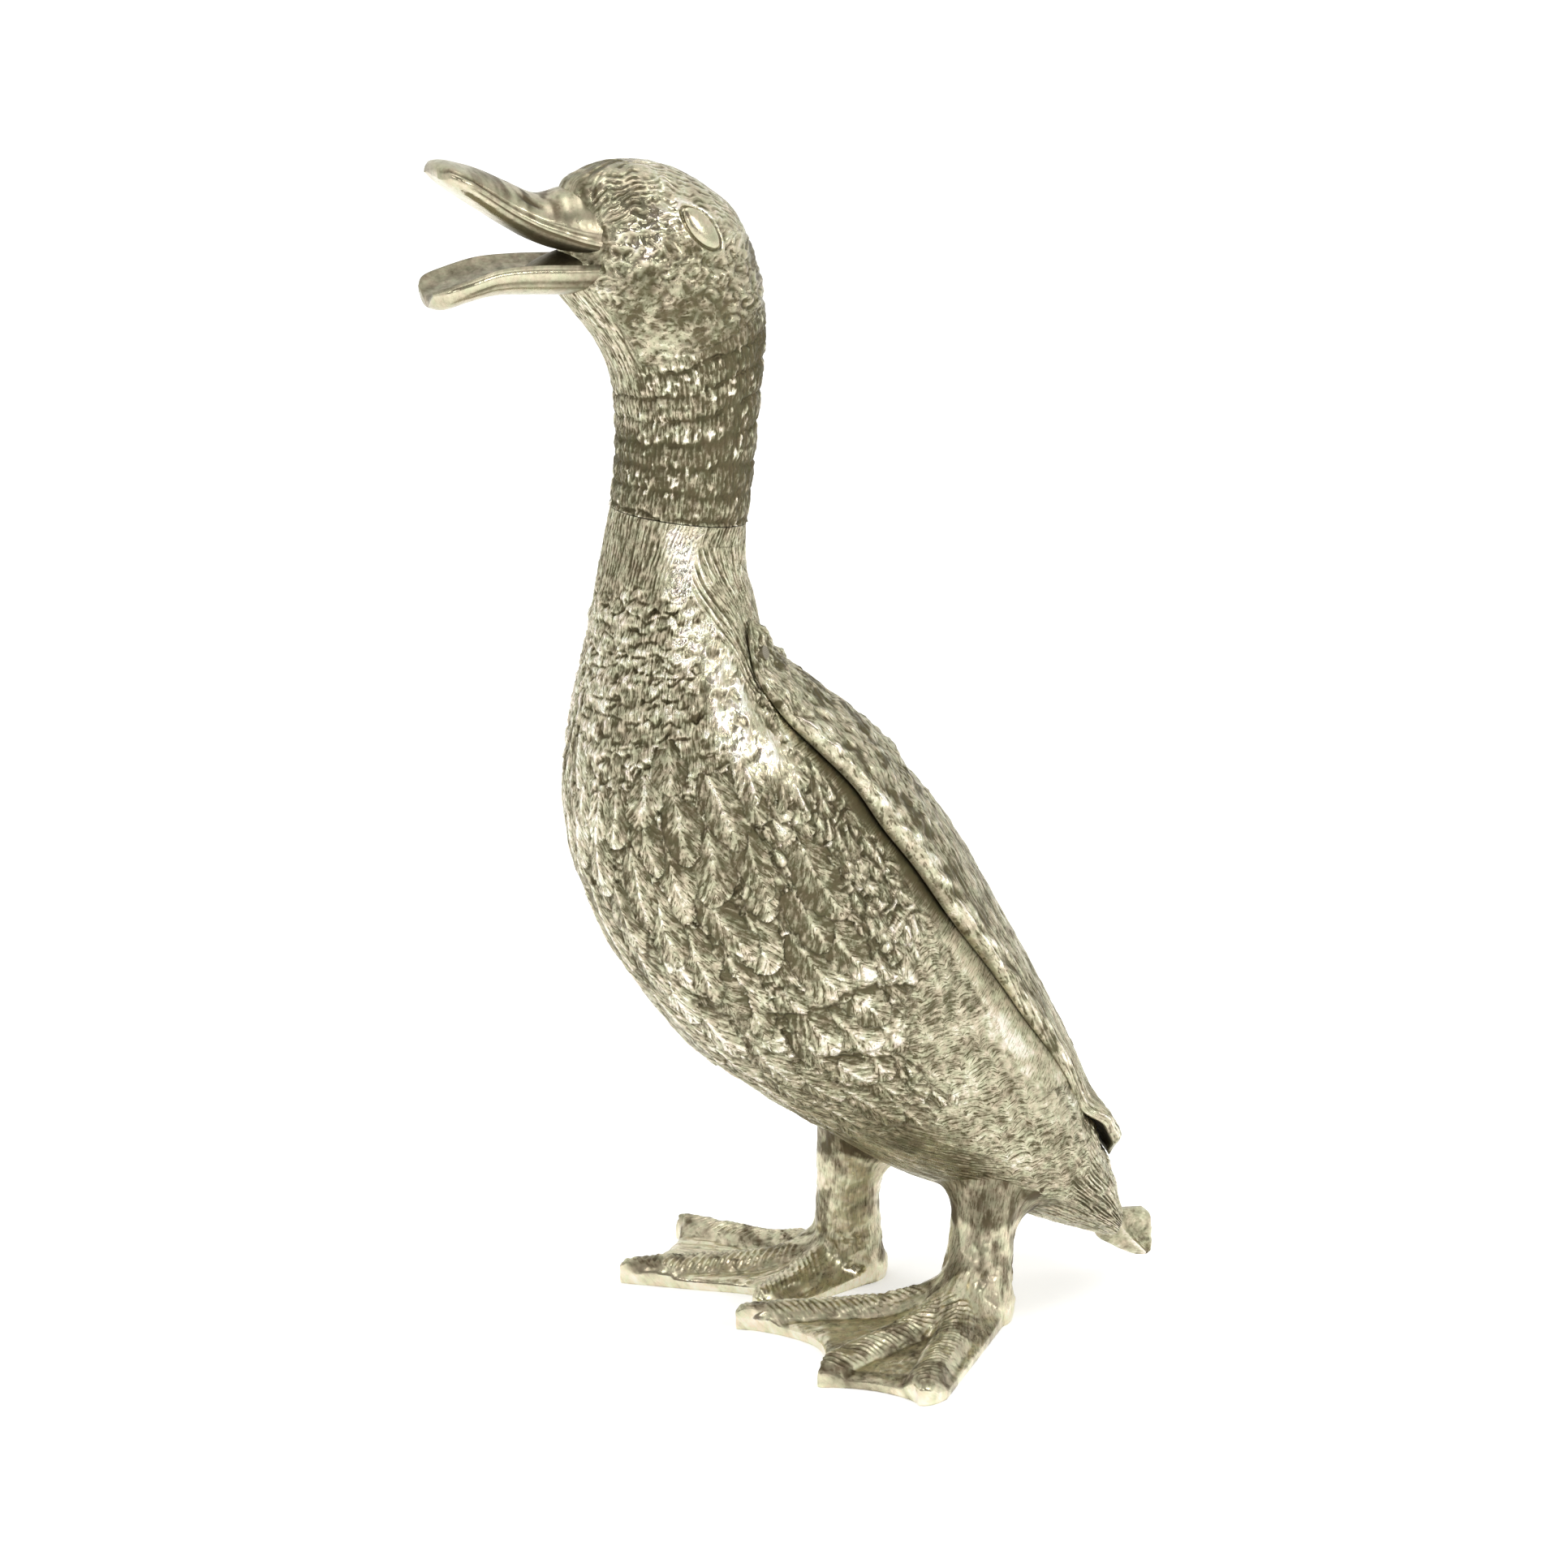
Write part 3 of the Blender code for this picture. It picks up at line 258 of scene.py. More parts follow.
def strokes(along, across, length, pitch, seed, fill=0.85, wobble=0.5):
    """Tooled grooves: broken dashes that run along one direction, 0 at rest and 1 when deep."""
    across = across + pitch * wobble * wander(along / (0.8 * length), across / (3 * pitch), seed)
    row = np.floor(across / pitch)
    side = across / pitch - row - 0.5
    cell_along = along / length + chance(row, row * 0, seed + 3) * 17.0
    cell = np.floor(cell_along)
    f = cell_along - cell
    width = 0.22 + 0.26 * chance(row, cell, seed + 4)
    there = chance(row, cell, seed + 5) < fill
    shape = np.clip(1.0 - (side / width) ** 2, 0.0, 1.0)
    return there * shape * np.clip(6 * f * (1 - f), 0.0, 1.0)


def blur(field, reach, wrap=True):
    """Box blur done twice over a grid, round the columns and along the rows."""
    for _ in range(2):
        for axis in (0, 1):
            pads = [(0, 0), (0, 0)]
            pads[axis] = (reach + 1, reach)
            mode = "wrap" if axis == 1 and wrap else "edge"
            total = np.cumsum(np.pad(field, pads, mode=mode), axis=axis)
            span = 2 * reach + 1
            if axis == 0:
                field = (total[span:] - total[:-span]) / span
            else:
                field = (total[:, span:] - total[:, :-span]) / span
    return field


def grid_normals(points):
    """Unit normals of a grid of points that closes round its columns."""
    around = np.roll(points, -1, 1) - np.roll(points, 1, 1)
    normal = np.cross(around, np.gradient(points, axis=0))
    length = np.linalg.norm(normal, axis=-1, keepdims=True)
    return normal / np.maximum(length, 1e-9)


def full_turn(columns):
    """Angles of the columns round a closed skin."""
    return np.linspace(0, 2 * pi, columns + 1)[:-1]


def length_along(rows, places):
    """Length of a skin's side line up to each place."""
    line = skin(rows, places, np.full(len(places), pi / 2))
    return np.concatenate(([0.0], np.cumsum(np.linalg.norm(np.diff(line, axis=0), axis=1))))


def sheet_quads(rows, columns, wrap, start=0):
    """Corner numbers of the faces of a grid, which closes round its columns where it wraps."""
    i, j = np.meshgrid(np.arange(rows - 1), np.arange(columns if wrap else columns - 1), indexing="ij")
    k = (j + 1) % columns
    quads = np.stack((i * columns + j, i * columns + k, (i + 1) * columns + k, (i + 1) * columns + j), -1)
    return quads.reshape(-1, 4) + start


def both_walls(outer, inner):
    """Points of the outer wall and then of the inner one, in one list."""
    return np.concatenate((outer.reshape(-1, 3), inner.reshape(-1, 3)))


def lined(field, inner, level):
    """Values over the outer wall, and then one level over the inner one."""
    return np.concatenate((field.ravel(), np.full(inner[..., 0].size, level)))


def placed(points):
    """Points of the duck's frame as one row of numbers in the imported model's frame."""
    return ((points + STANCE) / 1000).astype(np.float32).ravel()


def paint(mesh, fields):
    """Stores values on the points of a mesh for its material to read."""
    for field, values in fields.items():
        kind, key = ("FLOAT_VECTOR", "vector") if values.ndim > 1 else ("FLOAT", "value")
        store = mesh.attributes.new(field, kind, "POINT")
        store.data.foreach_set(key, values.astype(np.float32).ravel())


def mesh_piece(name, points, quads, caps, fields):
    """Object from points in the duck's frame, faces of four corners, end faces and values."""
    mesh = bpy.data.meshes.new(name)
    flat = np.concatenate([quads.ravel()] + [np.array(cap) for cap in caps]).astype(np.int32)
    sizes = np.concatenate([np.full(len(quads), 4)] + [np.array([len(cap)]) for cap in caps])
    starts = np.concatenate(([0], np.cumsum(sizes)[:-1])).astype(np.int32)
    mesh.vertices.add(len(points))
    mesh.vertices.foreach_set("co", placed(points))
    mesh.loops.add(len(flat))
    mesh.loops.foreach_set("vertex_index", flat)
    mesh.polygons.add(len(sizes))
    mesh.polygons.foreach_set("loop_start", starts)
    mesh.update(calc_edges=True)
    paint(mesh, fields)
    mesh.shade_smooth()
    piece = bpy.data.objects.new(name, mesh)
    bpy.context.collection.objects.link(piece)
    return piece


def silver(name, light, dark, gloss, dull, grainy=1.0):
    """Plated metal: bright where it is rubbed, brown in the recesses, with streaks and pits."""
    made, tree, shader = start_material(name)
    nodes, links = tree.nodes, tree.links
    shader.inputs["Metallic"].default_value = 1.0

    def painted(field, output="Fac"):
        reader = nodes.new("ShaderNodeAttribute")
        reader.attribute_name = field
        return reader.outputs[output]

    def noise(vector, scale, detail):
        texture = nodes.new("ShaderNodeTexNoise")
        texture.inputs["Scale"].default_value = scale
        texture.inputs["Detail"].default_value = detail
        texture.inputs["Roughness"].default_value = 0.65
        links.new(vector, texture.inputs["Vector"])
        return texture.outputs["Fac"]

    def remap(value, *limits):
        ranged = nodes.new("ShaderNodeMapRange")
        for socket, number in zip(("From Min", "From Max", "To Min", "To Max"), limits):
            ranged.inputs[socket].default_value = number
        links.new(value, ranged.inputs["Value"])
        return ranged.outputs["Result"]

    def total(first, second):
        return reckon(tree, "ADD", first, second)

    where = nodes.new("ShaderNodeTexCoord").outputs["Object"]
    drawn = nodes.new("ShaderNodeVectorMath")
    drawn.operation = "MULTIPLY"
    drawn.inputs[1].default_value = (0.30, 1.5, 1.0)
    links.new(painted("grain", "Vector"), drawn.inputs[0])
    streak = noise(drawn.outputs["Vector"], 1.0, 4.0)
    speckle = noise(where, 1100.0, 4.0)
    rubbed = painted("rubbed")
    coarse = remap(rubbed, 0.0, 1.0, 0.34 * grainy, 0.05)

    # Level of the tarnish and of painted light and shade: what the piece says, made uneven by streaks,
    # specks, pits and scores.
    uneven = total(remap(streak, 0.30, 0.70, -1.0, 1.0), remap(speckle, 0.30, 0.70, -1.0, 1.0))
    uneven = total(uneven, remap(noise(where, 520.0, 2.0), 0.60, 0.70, 0.0, 1.0))
    scored = remap(noise(drawn.outputs["Vector"], 1.25, 2.0), 0.53, 0.60, -0.55, 1.5)
    uneven = total(reckon(tree, "MULTIPLY", uneven, remap(speckle, 0.3, 0.7, 0.45, 0.75)), scored)
    level = total(painted("tarnish_and_painted_light"), reckon(tree, "MULTIPLY", uneven, coarse))

    # Colour: from light to dark silver, a little greener in some clouds and redder in others.
    ramp = nodes.new("ShaderNodeValToRGB")
    ramp.color_ramp.elements[0].color = (0.92, 0.89, 0.85, 1.0)
    ramp.color_ramp.elements[1].color = (*dark, 1.0)
    for position, share in ((0.30, 0.0), (0.48, 0.30), (0.66, 0.64), (0.85, 0.90)):
        stop = ramp.color_ramp.elements.new(position)
        stop.color = (*[a * (1 - share) + b * share for a, b in zip(light, dark)], 1.0)
    tint = nodes.new("ShaderNodeMix")
    tint.data_type = "RGBA"
    tint.inputs["A"].default_value = (0.95, 1.0, 0.90, 1.0)
    tint.inputs["B"].default_value = (1.06, 0.98, 0.94, 1.0)
    colour = nodes.new("ShaderNodeMix")
    colour.data_type = "RGBA"
    colour.blend_type = "MULTIPLY"
    colour.inputs["Factor"].default_value = 1.0
    links.new(remap(level, -0.30, 1.05, 0.0, 1.0), ramp.inputs["Fac"])
    links.new(remap(noise(where, 300.0, 3.0), 0.35, 0.65, 0.0, 1.0), tint.inputs["Factor"])
    links.new(ramp.outputs["Color"], colour.inputs["A"])
    links.new(tint.outputs["Result"], colour.inputs["B"])
    links.new(colour.outputs["Result"], shader.inputs["Base Color"])

    # Shine: dull with the tarnish, smoother where it is rubbed, and rougher where it is matte.
    smoother = total(remap(rubbed, 0.0, 1.0, 0.10, -0.06), remap(painted("matte"), 0.0, 1.0, 0.0, 0.30))
    links.new(total(remap(level, -0.1, 0.9, gloss, dull), smoother), shader.inputs["Roughness"])
    bumps = nodes.new("ShaderNodeBump")
    bumps.inputs["Strength"].default_value = 0.7 * grainy
    pits = total(remap(streak, 0.2, 0.8, 1.0, 0.0), remap(speckle, 0.2, 0.8, 0.7, 0.0))
    links.new(pits, bumps.inputs["Height"])
    links.new(remap(coarse, 0.05, 0.36, 0.00002, 0.00020), bumps.inputs["Distance"])
    links.new(bumps.outputs["Normal"], shader.inputs["Normal"])
    return made


aged_silver = silver("aged_silver", (0.61, 0.575, 0.44), (0.122, 0.107, 0.064), 0.16, 0.40)


def dress(piece, material, node):
    piece.data.materials.append(material)
    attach(piece, "root")
    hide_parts(node)


def reading(table, place):
    """Value of a two-column table at each place, by straight lines."""
    keys, values = zip(*table)
    return np.interp(place, keys, values)


# Where the tooling changes on the body: the bare ledge under the wing ends at these angles.
LEDGE_EDGE = ((2.6, 40.0), (3.3, 50.0), (3.7, 53.0), (4.7, 56.0), (5.5, 61.0), (6.6, 58.0),
              (7.1, 58.0), (7.9, 56.0), (8.3, 55.0), (9.1, 59.0), (9.9, 58.0), (10.3, 60.0),
              (10.6, 61.0), (11.6, 62.0), (12.3, 66.0), (12.8, 69.0), (13.4, 64.0), (13.8, 46.0),
              (14.4, 20.0))
ANGLES = np.interp(np.linspace(0, 1, BODY_COLUMNS + 1),
                   (0.0, 0.045, 0.955, 1.0), (0.0, 40.0, 320.0, 360.0))[:-1]
MEAN_RADIUS = ((0, 22.0), (5, 34.0), (9, 44.0), (12, 40.0), (17, 22.0))
DEGREES_IN_RADIAN = 57.3
# Added to a pattern's place on the right side, so that the two sides aren't mirror images.
OTHER_SIDE = 400.0
count = len(BANDS) * BAND_ROWS
places = np.linspace(0.0, len(BODY_ROWS) - 1.0, count + 1)
place, angle = np.meshgrid(places, np.radians(ANGLES), indexing="ij")
base = skin(BODY_ROWS, place, angle)
outward = grid_normals(base)
turned = 180.0 - np.abs(180.0 - np.degrees(angle))
run = np.repeat(length_along(BODY_ROWS, places)[:, None], BODY_COLUMNS, 1)
arc = (180.0 - turned) / DEGREES_IN_RADIAN * reading(MEAN_RADIUS, places)[:, None]
hand = np.where(np.degrees(angle) < 180.0, 0.0, OTHER_SIDE)
y, z = base[..., 1], base[..., 2]

ledge = reading(LEDGE_EDGE, place) + 2.5 * mottle(run / 4.0, turned / 6.0 + hand, 70)
bare = (1.0 - ease(-1.5, 1.5, turned - ledge)) * ease(3.0, 3.6, place) * (1 - ease(13.9, 14.5, place))
rough = 1.0 - bare

# Collar: short bright upright strokes under the neck seam.
collar = 1 - ease(1.1, 1.9, place + 0.35 * wander(arc / 5.0, run / 7.0, 5))
# Painted highlight: a pale upright band low on the neck, painted lighter where a lamp's reflection falls.
highlight_stripe = np.exp(-((turned - 106.0 + 4.0 * place) / 17.0) ** 4) * (1 - ease(2.6, 3.8, place))
highlight_stripe = highlight_stripe * ease(-0.5, 0.3, mottle(arc / 6.0 + hand, run / 6.0, 33) + 0.5 * collar)
upright = strokes(run, arc + hand, 9.0, 1.5, 11, 0.9, 0.5) * (1 - 0.65 * highlight_stripe)
surface = {"height": -0.34 * upright, "groove": upright, "along": run, "across": arc + hand}


def work(mask, raised, cut, along=None, across=None):
    """Tools one zone of the casting: its relief, its cuts, and the way its fine lines run."""
    for key, value in (("height", raised), ("groove", cut)):
        surface[key] = surface[key] * (1 - mask) + value * mask
    if along is not None:
        for key, value in (("along", along), ("across", across)):
            surface[key] = np.where(mask > 0.5, value, surface[key])


# Crinkled down of the upper breast: lumps broken by short wavy furrows across the breast.
def crease(along, across, length, pitch, width, seed, fill):
    """Thin broken creases along one direction, each a little bent, 0 at rest and 1 when deep."""
    bent = across + 1.5 * wander(along / 4.0, across / 5.0, seed)
    bent = bent + 0.5 * wander(along / 1.4, across / 3.0, seed + 1)
    line = np.floor(bent / pitch)
    cell_along = along / length + chance(line, line * 0, seed + 2) * 17.0
    cell = np.floor(cell_along)
    f = cell_along - cell
    off = (bent / pitch - line - 0.5 + 0.5 * (chance(line, cell, seed + 3) - 0.5)) * pitch
    there = chance(line, cell, seed + 4) < fill
    return hump(off, 0.0, width) * there * ease(0.0, 0.12, f) * (1 - ease(0.80, 1.0, f))


furrow = crease(arc + hand, run, 6.5, 5.0, 0.42, 21, 0.75)
furrow = np.maximum(furrow, 0.8 * crease(arc + hand, run, 5.0, 3.1, 0.36, 121, 0.55))
lumps = 0.75 * wander(arc / 3.0 + hand, run / 2.4, 25) + 0.40 * wander(arc / 1.4 + hand, run / 1.2, 26)
stubble = strokes(run, arc + hand, 2.6, 1.2, 27, 0.7, 0.8)
crinkle = ease(0.0, 1.0, 1 - collar)
work(crinkle, 0.80 * lumps - 0.60 * furrow - 0.16 * stubble, 0.55 * furrow + 0.25 * stubble)

# Contour feathers: one is pressed into the relief after another, from the tail forwards, so
# that each covers the root of the one behind it.
row_cell = np.linalg.norm(np.diff(base, axis=0), axis=-1)
column_cell = np.linalg.norm(np.roll(base, -1, 1) - base, axis=-1)
relief = {key: np.zeros_like(place) for key in ("height", "groove", "shaft", "tone", "laid")}
relief["along"], relief["across"] = run.copy(), arc + hand


def draw(i, j, seed):
    """One steady number from 0 to 1."""
    return float(chance(np.array(i), np.array(j), seed))


def lay_feather(place_at, angle_at, length, half_width, lift, lean, number, barb, blunt, ragged):
    """One feather: a vane with a raised shaft and split barbs, lifted towards its tip."""
    i = int(round(place_at / places[-1] * count))
    j = int(np.searchsorted(ANGLES, angle_at % 360.0)) % BODY_COLUMNS
    if not 2 < i < count - 3:
        return
    tall = int((length + 3.0) / row_cell[i, j])
    wide = int((half_width * 1.5 + 2.0 + abs(lean) * length) / column_cell[i, j])
    picked = np.ix_(np.arange(max(i - 12, 0), min(i + tall, count + 1)),
                    np.arange(j - wide, j + wide) % BODY_COLUMNS)
    way = base[i + 2, j] - base[i - 2, j]
    way = way / np.linalg.norm(way)
    side = np.cross(outward[i, j], way)
    way, side = way * cos(lean) + side * sin(lean), side * cos(lean) - way * sin(lean)
    offset = base[picked] - base[i, j]
    down = offset @ way
    share = down / length
    luck = [draw(number, k, 301) for k in range(5)]
    off = offset @ side - (luck[0] - 0.5) * 0.30 * length * np.clip(share, 0, 1) ** 2
    off = off + 0.35 * wander(down / 4.0, off / 4.0, 306)
    reach = np.abs(off)
    barb_across = down * sin(barb) - reach * cos(barb) + 0.05 * reach ** 2 + number * 7.3
    barb_along = down * cos(barb) + reach * sin(barb) + number * 3.1
    tip = np.clip((share - blunt) / (1 - blunt), 0, 1)
    vane = half_width * (0.40 + 0.60 * np.sin(pi / 2 * np.clip(share / 0.6, 0, 1))) * np.sqrt(1 - tip ** 2)
    split = chance(np.floor(barb_across / 1.3), np.sign(off), 302)
    vane = vane * (1 - ragged * split + 0.12 * wander(down / 2.0, off / 2.0, 303))
    root_gap = 0.22 * chance(np.floor(barb_across / 2.0), np.sign(off), 309)
    mask = (share > root_gap) & (share < 1) & (reach < vane)
    grooves = 0.6 * strokes(barb_along, barb_across, 5.0 + 4.0 * luck[1], 1.45, 304, 0.75, 0.9)
    grooves = grooves + 0.55 * wander(barb_along / 3.5, barb_across / 0.75, 305)
    grooves = grooves + 0.30 * wander(barb_along / 1.8, barb_across / 0.6, 307)
    shaft_line = hump(off, 0.0, 0.50 + 0.40 * luck[2]) * (1 - ease(0.70, 0.95, share))
    own = lift * (0.10 + 0.90 * np.clip(share, 0, 1) ** 0.8) * (0.75 + 0.5 * luck[3])
    own = own - 0.40 * lift * (reach / np.maximum(vane, 0.3)) ** 2 + 0.40 * shaft_line
    own = own - 0.24 * grooves * (1 - 0.7 * shaft_line)
    own = own + 0.14 * mottle(barb_along / 2.2, barb_across / 1.6, 308)
    for key, value in (("height", own - 0.45), ("groove", grooves * (1 - shaft_line)),
                       ("shaft", shaft_line), ("tone", luck[4] - 0.5), ("laid", 1.0),
                       ("along", barb_along), ("across", barb_across)):
        relief[key][picked] = np.where(mask, value, relief[key][picked])


# Rows of contour feathers: place, angle from the back where the columns stop, spacing round
# the body, length, half width and lift of the tip, all but the first two in millimetres.
FEATHER_ROWS = (
    (4.8, 84.0, 9.0, 16.0, 5.6, 0.85),
    (5.4, 88.0, 10.0, 20.0, 6.2, 0.95),
    (6.1, 92.0, 11.0, 23.0, 6.8, 1.00),
    (6.8, 90.0, 11.5, 25.0, 7.2, 1.05),
    (7.5, 94.0, 12.0, 26.0, 7.4, 1.10),
    (8.2, 92.0, 12.0, 26.0, 7.4, 1.10),
    (8.9, 96.0, 12.0, 25.0, 7.2, 1.10),
    (9.6, 98.0, 11.5, 24.0, 7.0, 1.05),
    (10.3, 104.0, 11.0, 22.0, 6.6, 0.95),
    (11.0, 110.0, 10.5, 20.0, 6.2, 0.80),
    (11.7, 116.0, 10.0, 18.0, 5.6, 0.65),
    (12.4, 124.0, 9.5, 16.0, 5.0, 0.50),
)
# Slant of the barbs in radians, share of the length where the tip begins, and how ragged the
# edge is.
FEATHER_VANE = (0.42, 0.40, 0.32)
TUFT_VANE = (0.30, 0.70, 0.35)
feathers = []
for k, (at, first, spacing, length, half_width, lift) in enumerate(FEATHER_ROWS):
    degree = float(reading(MEAN_RADIUS, at)) * radians(1.0)
    for c in range(int((180.0 - first) * degree / spacing) + 1):
        luck = [draw(k, c, 320 + s) for s in range(5)]
        away = (c + 0.5 * (k % 2) + 0.5 * (luck[0] - 0.5)) * spacing / degree
        stagger = (1.1 if k == 0 else 0.35) * (luck[1] - 0.5)
        feathers.append((at + stagger, away, length * (0.85 + 0.35 * luck[2]),
                         half_width * (0.85 + 0.3 * luck[3]), lift, (luck[4] - 0.5) * 0.30,
                         40 * k + c, FEATHER_VANE))
# Tufts on the flank, between the big feathers and the bare ledge under the wing.
TUFT_OUTER = ((4.7, 90.0), (6.0, 100.0), (8.0, 102.0), (10.0, 106.0), (12.0, 114.0))
TUFT_ROWS, TUFT_SPACING = 24, 4.6
for k in range(TUFT_ROWS):
    at = 6.0 + 0.26 * k
    inner, outer = float(reading(LEDGE_EDGE, at)) + 1.0, float(reading(TUFT_OUTER, at))
    degree = float(reading(MEAN_RADIUS, at)) * radians(1.0)
    for c in range(int((outer - inner) * degree / TUFT_SPACING) + 1):
        luck = [draw(k, c, 310 + s) for s in range(6)]
        around = inner + (c + 0.5 * (k % 2) + 0.8 * luck[0] - 0.4) * TUFT_SPACING / degree
        feathers.append((at + 0.20 * (luck[1] - 0.5), 180.0 - around, 5.5 + 5.0 * luck[2] ** 2,
                         2.0 + 1.3 * luck[3], 0.32 + 0.38 * luck[5], (luck[4] - 0.5) * 1.0,
                         1000 + 50 * k + c, TUFT_VANE))
feathers.sort(key=lambda feather: -feather[0])
for at, away, length, half_width, lift, lean, number, vane in feathers:
    lay_feather(at, 180.0 - away, length, half_width, lift, lean, number, *vane)
    if away > 1.0:
        lay_feather(at, 180.0 + away, length, half_width, lift, -lean, number + 5000, *vane)
work(relief["laid"], relief["height"], relief["groove"], relief["along"], relief["across"])

# Shoulder: long strokes that sweep back from the neck, and smooth swellings under them that are
# rubbed to a mirror, with a painted sheen: their colour is painted lighter where a lamp's reflection falls.
SWEEP_EDGE = ((0.0, 78.0), (0.7, 92.0), (1.4, 96.0), (2.2, 84.0), (3.2, 70.0), (4.5, 62.0))
sweep = turned - reading(SWEEP_EDGE, place) + 5 * wander(run / 9.0, turned / 9.0, 15)
sweep = (1 - ease(-5.0, 5.0, sweep)) * (1 - ease(3.6, 4.8, place)) * ease(0.25, 0.7, place)
swept_line = turned * 0.40 + 6.5 * place * ease(15.0, 70.0, turned) + hand
swept = strokes(run, swept_line, 22.0, 2.4, 13, 0.9, 0.5)
swept = np.maximum(swept, 0.6 * strokes(run, swept_line, 12.0, 1.2, 14, 0.7, 0.5))
work(sweep, -0.55 * swept + 0.2 * mottle(run / 9.0, swept_line / 3.0, 16), 0.8 * swept, run, swept_line)
sheen_at = (place - 4.3) / 2.0 + 0.25 * wander(run / 8.0, turned / 12.0, 17)
painted_sheen = np.exp(-sheen_at ** 2 - ((turned - 79.0 + 3.0 * (place - 4.3)) / 17.0) ** 2)
pillow = 0.65 * mottle(run / 6.0, arc / 5.0 + hand, 18) + 0.10 * mottle(run / 2.2, arc / 2.0 + hand, 19)
dent = run - 0.5 * arc + 0.9 * wander(arc / 5, run / 5, 28)
dent = strokes(arc + 0.6 * run, dent, 7.0, 5.0, 29, 0.45, 0.4)
polished = ease(0.25, 0.6, painted_sheen) * (1 - sweep)
work(polished, pillow - 0.5 * dent, 0.9 * dent)

# Rear flank: columns of short curved hairs, then soft lines below and long lines on the tail.
rear = ease(9.9, 11.4, place + 0.02 * (90.0 - turned) + 0.5 * mottle(run / 7.0, turned / 20.0, 71))
rear = rear * (1 - relief["laid"] * ease(92.0, 108.0, turned) * (1 - ease(12.3, 13.0, place)))
column = (y + 0.45 * z) / 6.6 + 0.45 * wander(y / 9.0, z / 7.0, 72) + 0.22 * wander(y / 3.5, z / 3.0, 69)
lane = np.floor(column)
across_lane = column - lane - 0.5
curve = 3.6 + 2.6 * wander(z / 6.0, lane * 2.7, 61)
comb = z - 0.16 * y + curve * across_lane ** 2 + chance(lane, lane * 0, 73) * 9.0
comb = comb + 0.5 * wander(y / 2.5, z / 2.5, 75)
hairs = np.clip((wander(1.5 * across_lane + 7.3 * lane, comb / 0.80, 74) - 0.05) / 0.25, 0, 1)
hairs = hairs * (1 - 0.8 * (2 * across_lane) ** 2) * ease(-0.55, 0.25, mottle(y / 6.0, z / 6.0 + hand, 76))
bald = np.exp(-((turned - 65.0) / 10.0) ** 2 - ((place - 12.8) / 1.3) ** 2)
hairs = hairs * (1 - 0.8 * bald)
hair_line = z - 0.10 * y + curve * across_lane ** 2 + 1.0 * wander(y / 5.0, z / 5.0, 62) + hand
work(rear, -0.16 * hairs + 0.14 * mottle(y / 3.0, z / 3.0 + hand, 78), 0.9 * hairs, y, hair_line)
under = ease(112.0, 126.0, turned + 5 * wander(run / 8.0, arc / 8.0, 79)) * ease(11.6, 12.6, place)
under_line = arc - 0.45 * run + hand
under_lines = strokes(run, under_line, 12.0, 1.3, 80, 0.8, 0.7)
work(under, -0.18 * under_lines, 0.35 * under_lines, run, under_line)
tail = ease(14.3, 15.2, place + 0.3 * wander(turned / 12.0, run / 5.0, 82))
tail_line = turned * 0.42 + hand
tail_lines = strokes(run, tail_line, 14.0, 1.9, 77, 0.9, 0.5)
tail_relief = -0.50 * tail_lines + 0.25 * mottle(run / 8.0, tail_line / 3.0, 83)
work(tail, tail_relief, 0.7 * tail_lines, run, tail_line)

# Folds where the thigh's feathers lie over the flank, each with a lobe above it.
FLANK_FOLDS = (
    ((9.45, 126.0), (9.6, 118.0), (9.75, 106.0), (9.7, 97.0), (10.0, 88.0), (10.4, 78.0)),
    ((10.4, 124.0), (10.6, 116.0), (11.0, 106.0), (11.0, 98.0), (10.8, 92.0)),
)
ROW_SPACING = 17.0
fold = np.zeros_like(place)
lobe = np.zeros_like(place)
for points in FLANK_FOLDS:
    keys = [p[1] for p in reversed(points)]
    at = np.interp(turned, keys, [p[0] for p in reversed(points)])
    inside = ease(keys[0] - 3, keys[0] + 3, turned) * (1 - ease(keys[-1] - 3, keys[-1] + 3, turned))
    off_line = (place - at) * ROW_SPACING
    lobe = lobe + inside * (0.9 * hump(off_line, -4.0, 4.5) - 0.5 * hump(off_line, 2.0, 2.5))
    off_line = off_line + 0.9 * wander(turned / 2.5, turned * 0, 81) + 0.4 * wander(turned, turned * 0, 84)
    depth = 0.55 + 0.45 * wander(turned / 6.0, turned * 0, 85)
    fold = np.maximum(fold, inside * depth * hump(off_line, 0.0, 0.75))
height = surface["height"] + lobe - 0.9 * fold
height = height + 0.14 * (1 - 0.8 * polished) * mottle(arc / 1.1 + hand, run / 1.1, 95)
ragged_end = ease(13.9, 14.6, place) * (1 - ease(30.0, 60.0, turned))
frayed = 1.3 * wander(run / 3.2, turned / 40.0, 92) + 0.6 * wander(run / 1.4, turned / 30.0, 93)
height = height + ragged_end * frayed
cross = strokes(turned * 0.6, run, 9.0, 0.9, 91, 0.8, 0.4)
height = rough * height + bare * (0.25 - 0.06 * cross)
grain_across = np.where(bare > 0.5, run, surface["across"])
grain_along = np.where(bare > 0.5, turned * 0.6, surface["along"])

# Tarnish settles in the hollows and in the cuts, and clouds the rest.
fine, broad = blur(height, 3) - height, blur(height, 12) - height
cloud = mottle(arc / 9.0 + hand, run / 9.0, 96)
tarnish_and_painted_light = 0.55 + 0.92 * fine + 0.55 * broad + 0.40 * cloud + 0.26 * mottle(arc / 2.2 + hand, run / 2.2, 97)
feather_tone = 0.20 * relief["laid"] * relief["tone"] * (1 - rear)
tarnish_and_painted_light += rough * (0.24 * surface["groove"] + 0.4 * fold + feather_tone)
tarnish_and_painted_light -= 0.06 * relief["laid"] * relief["shaft"] * (1 - rear)
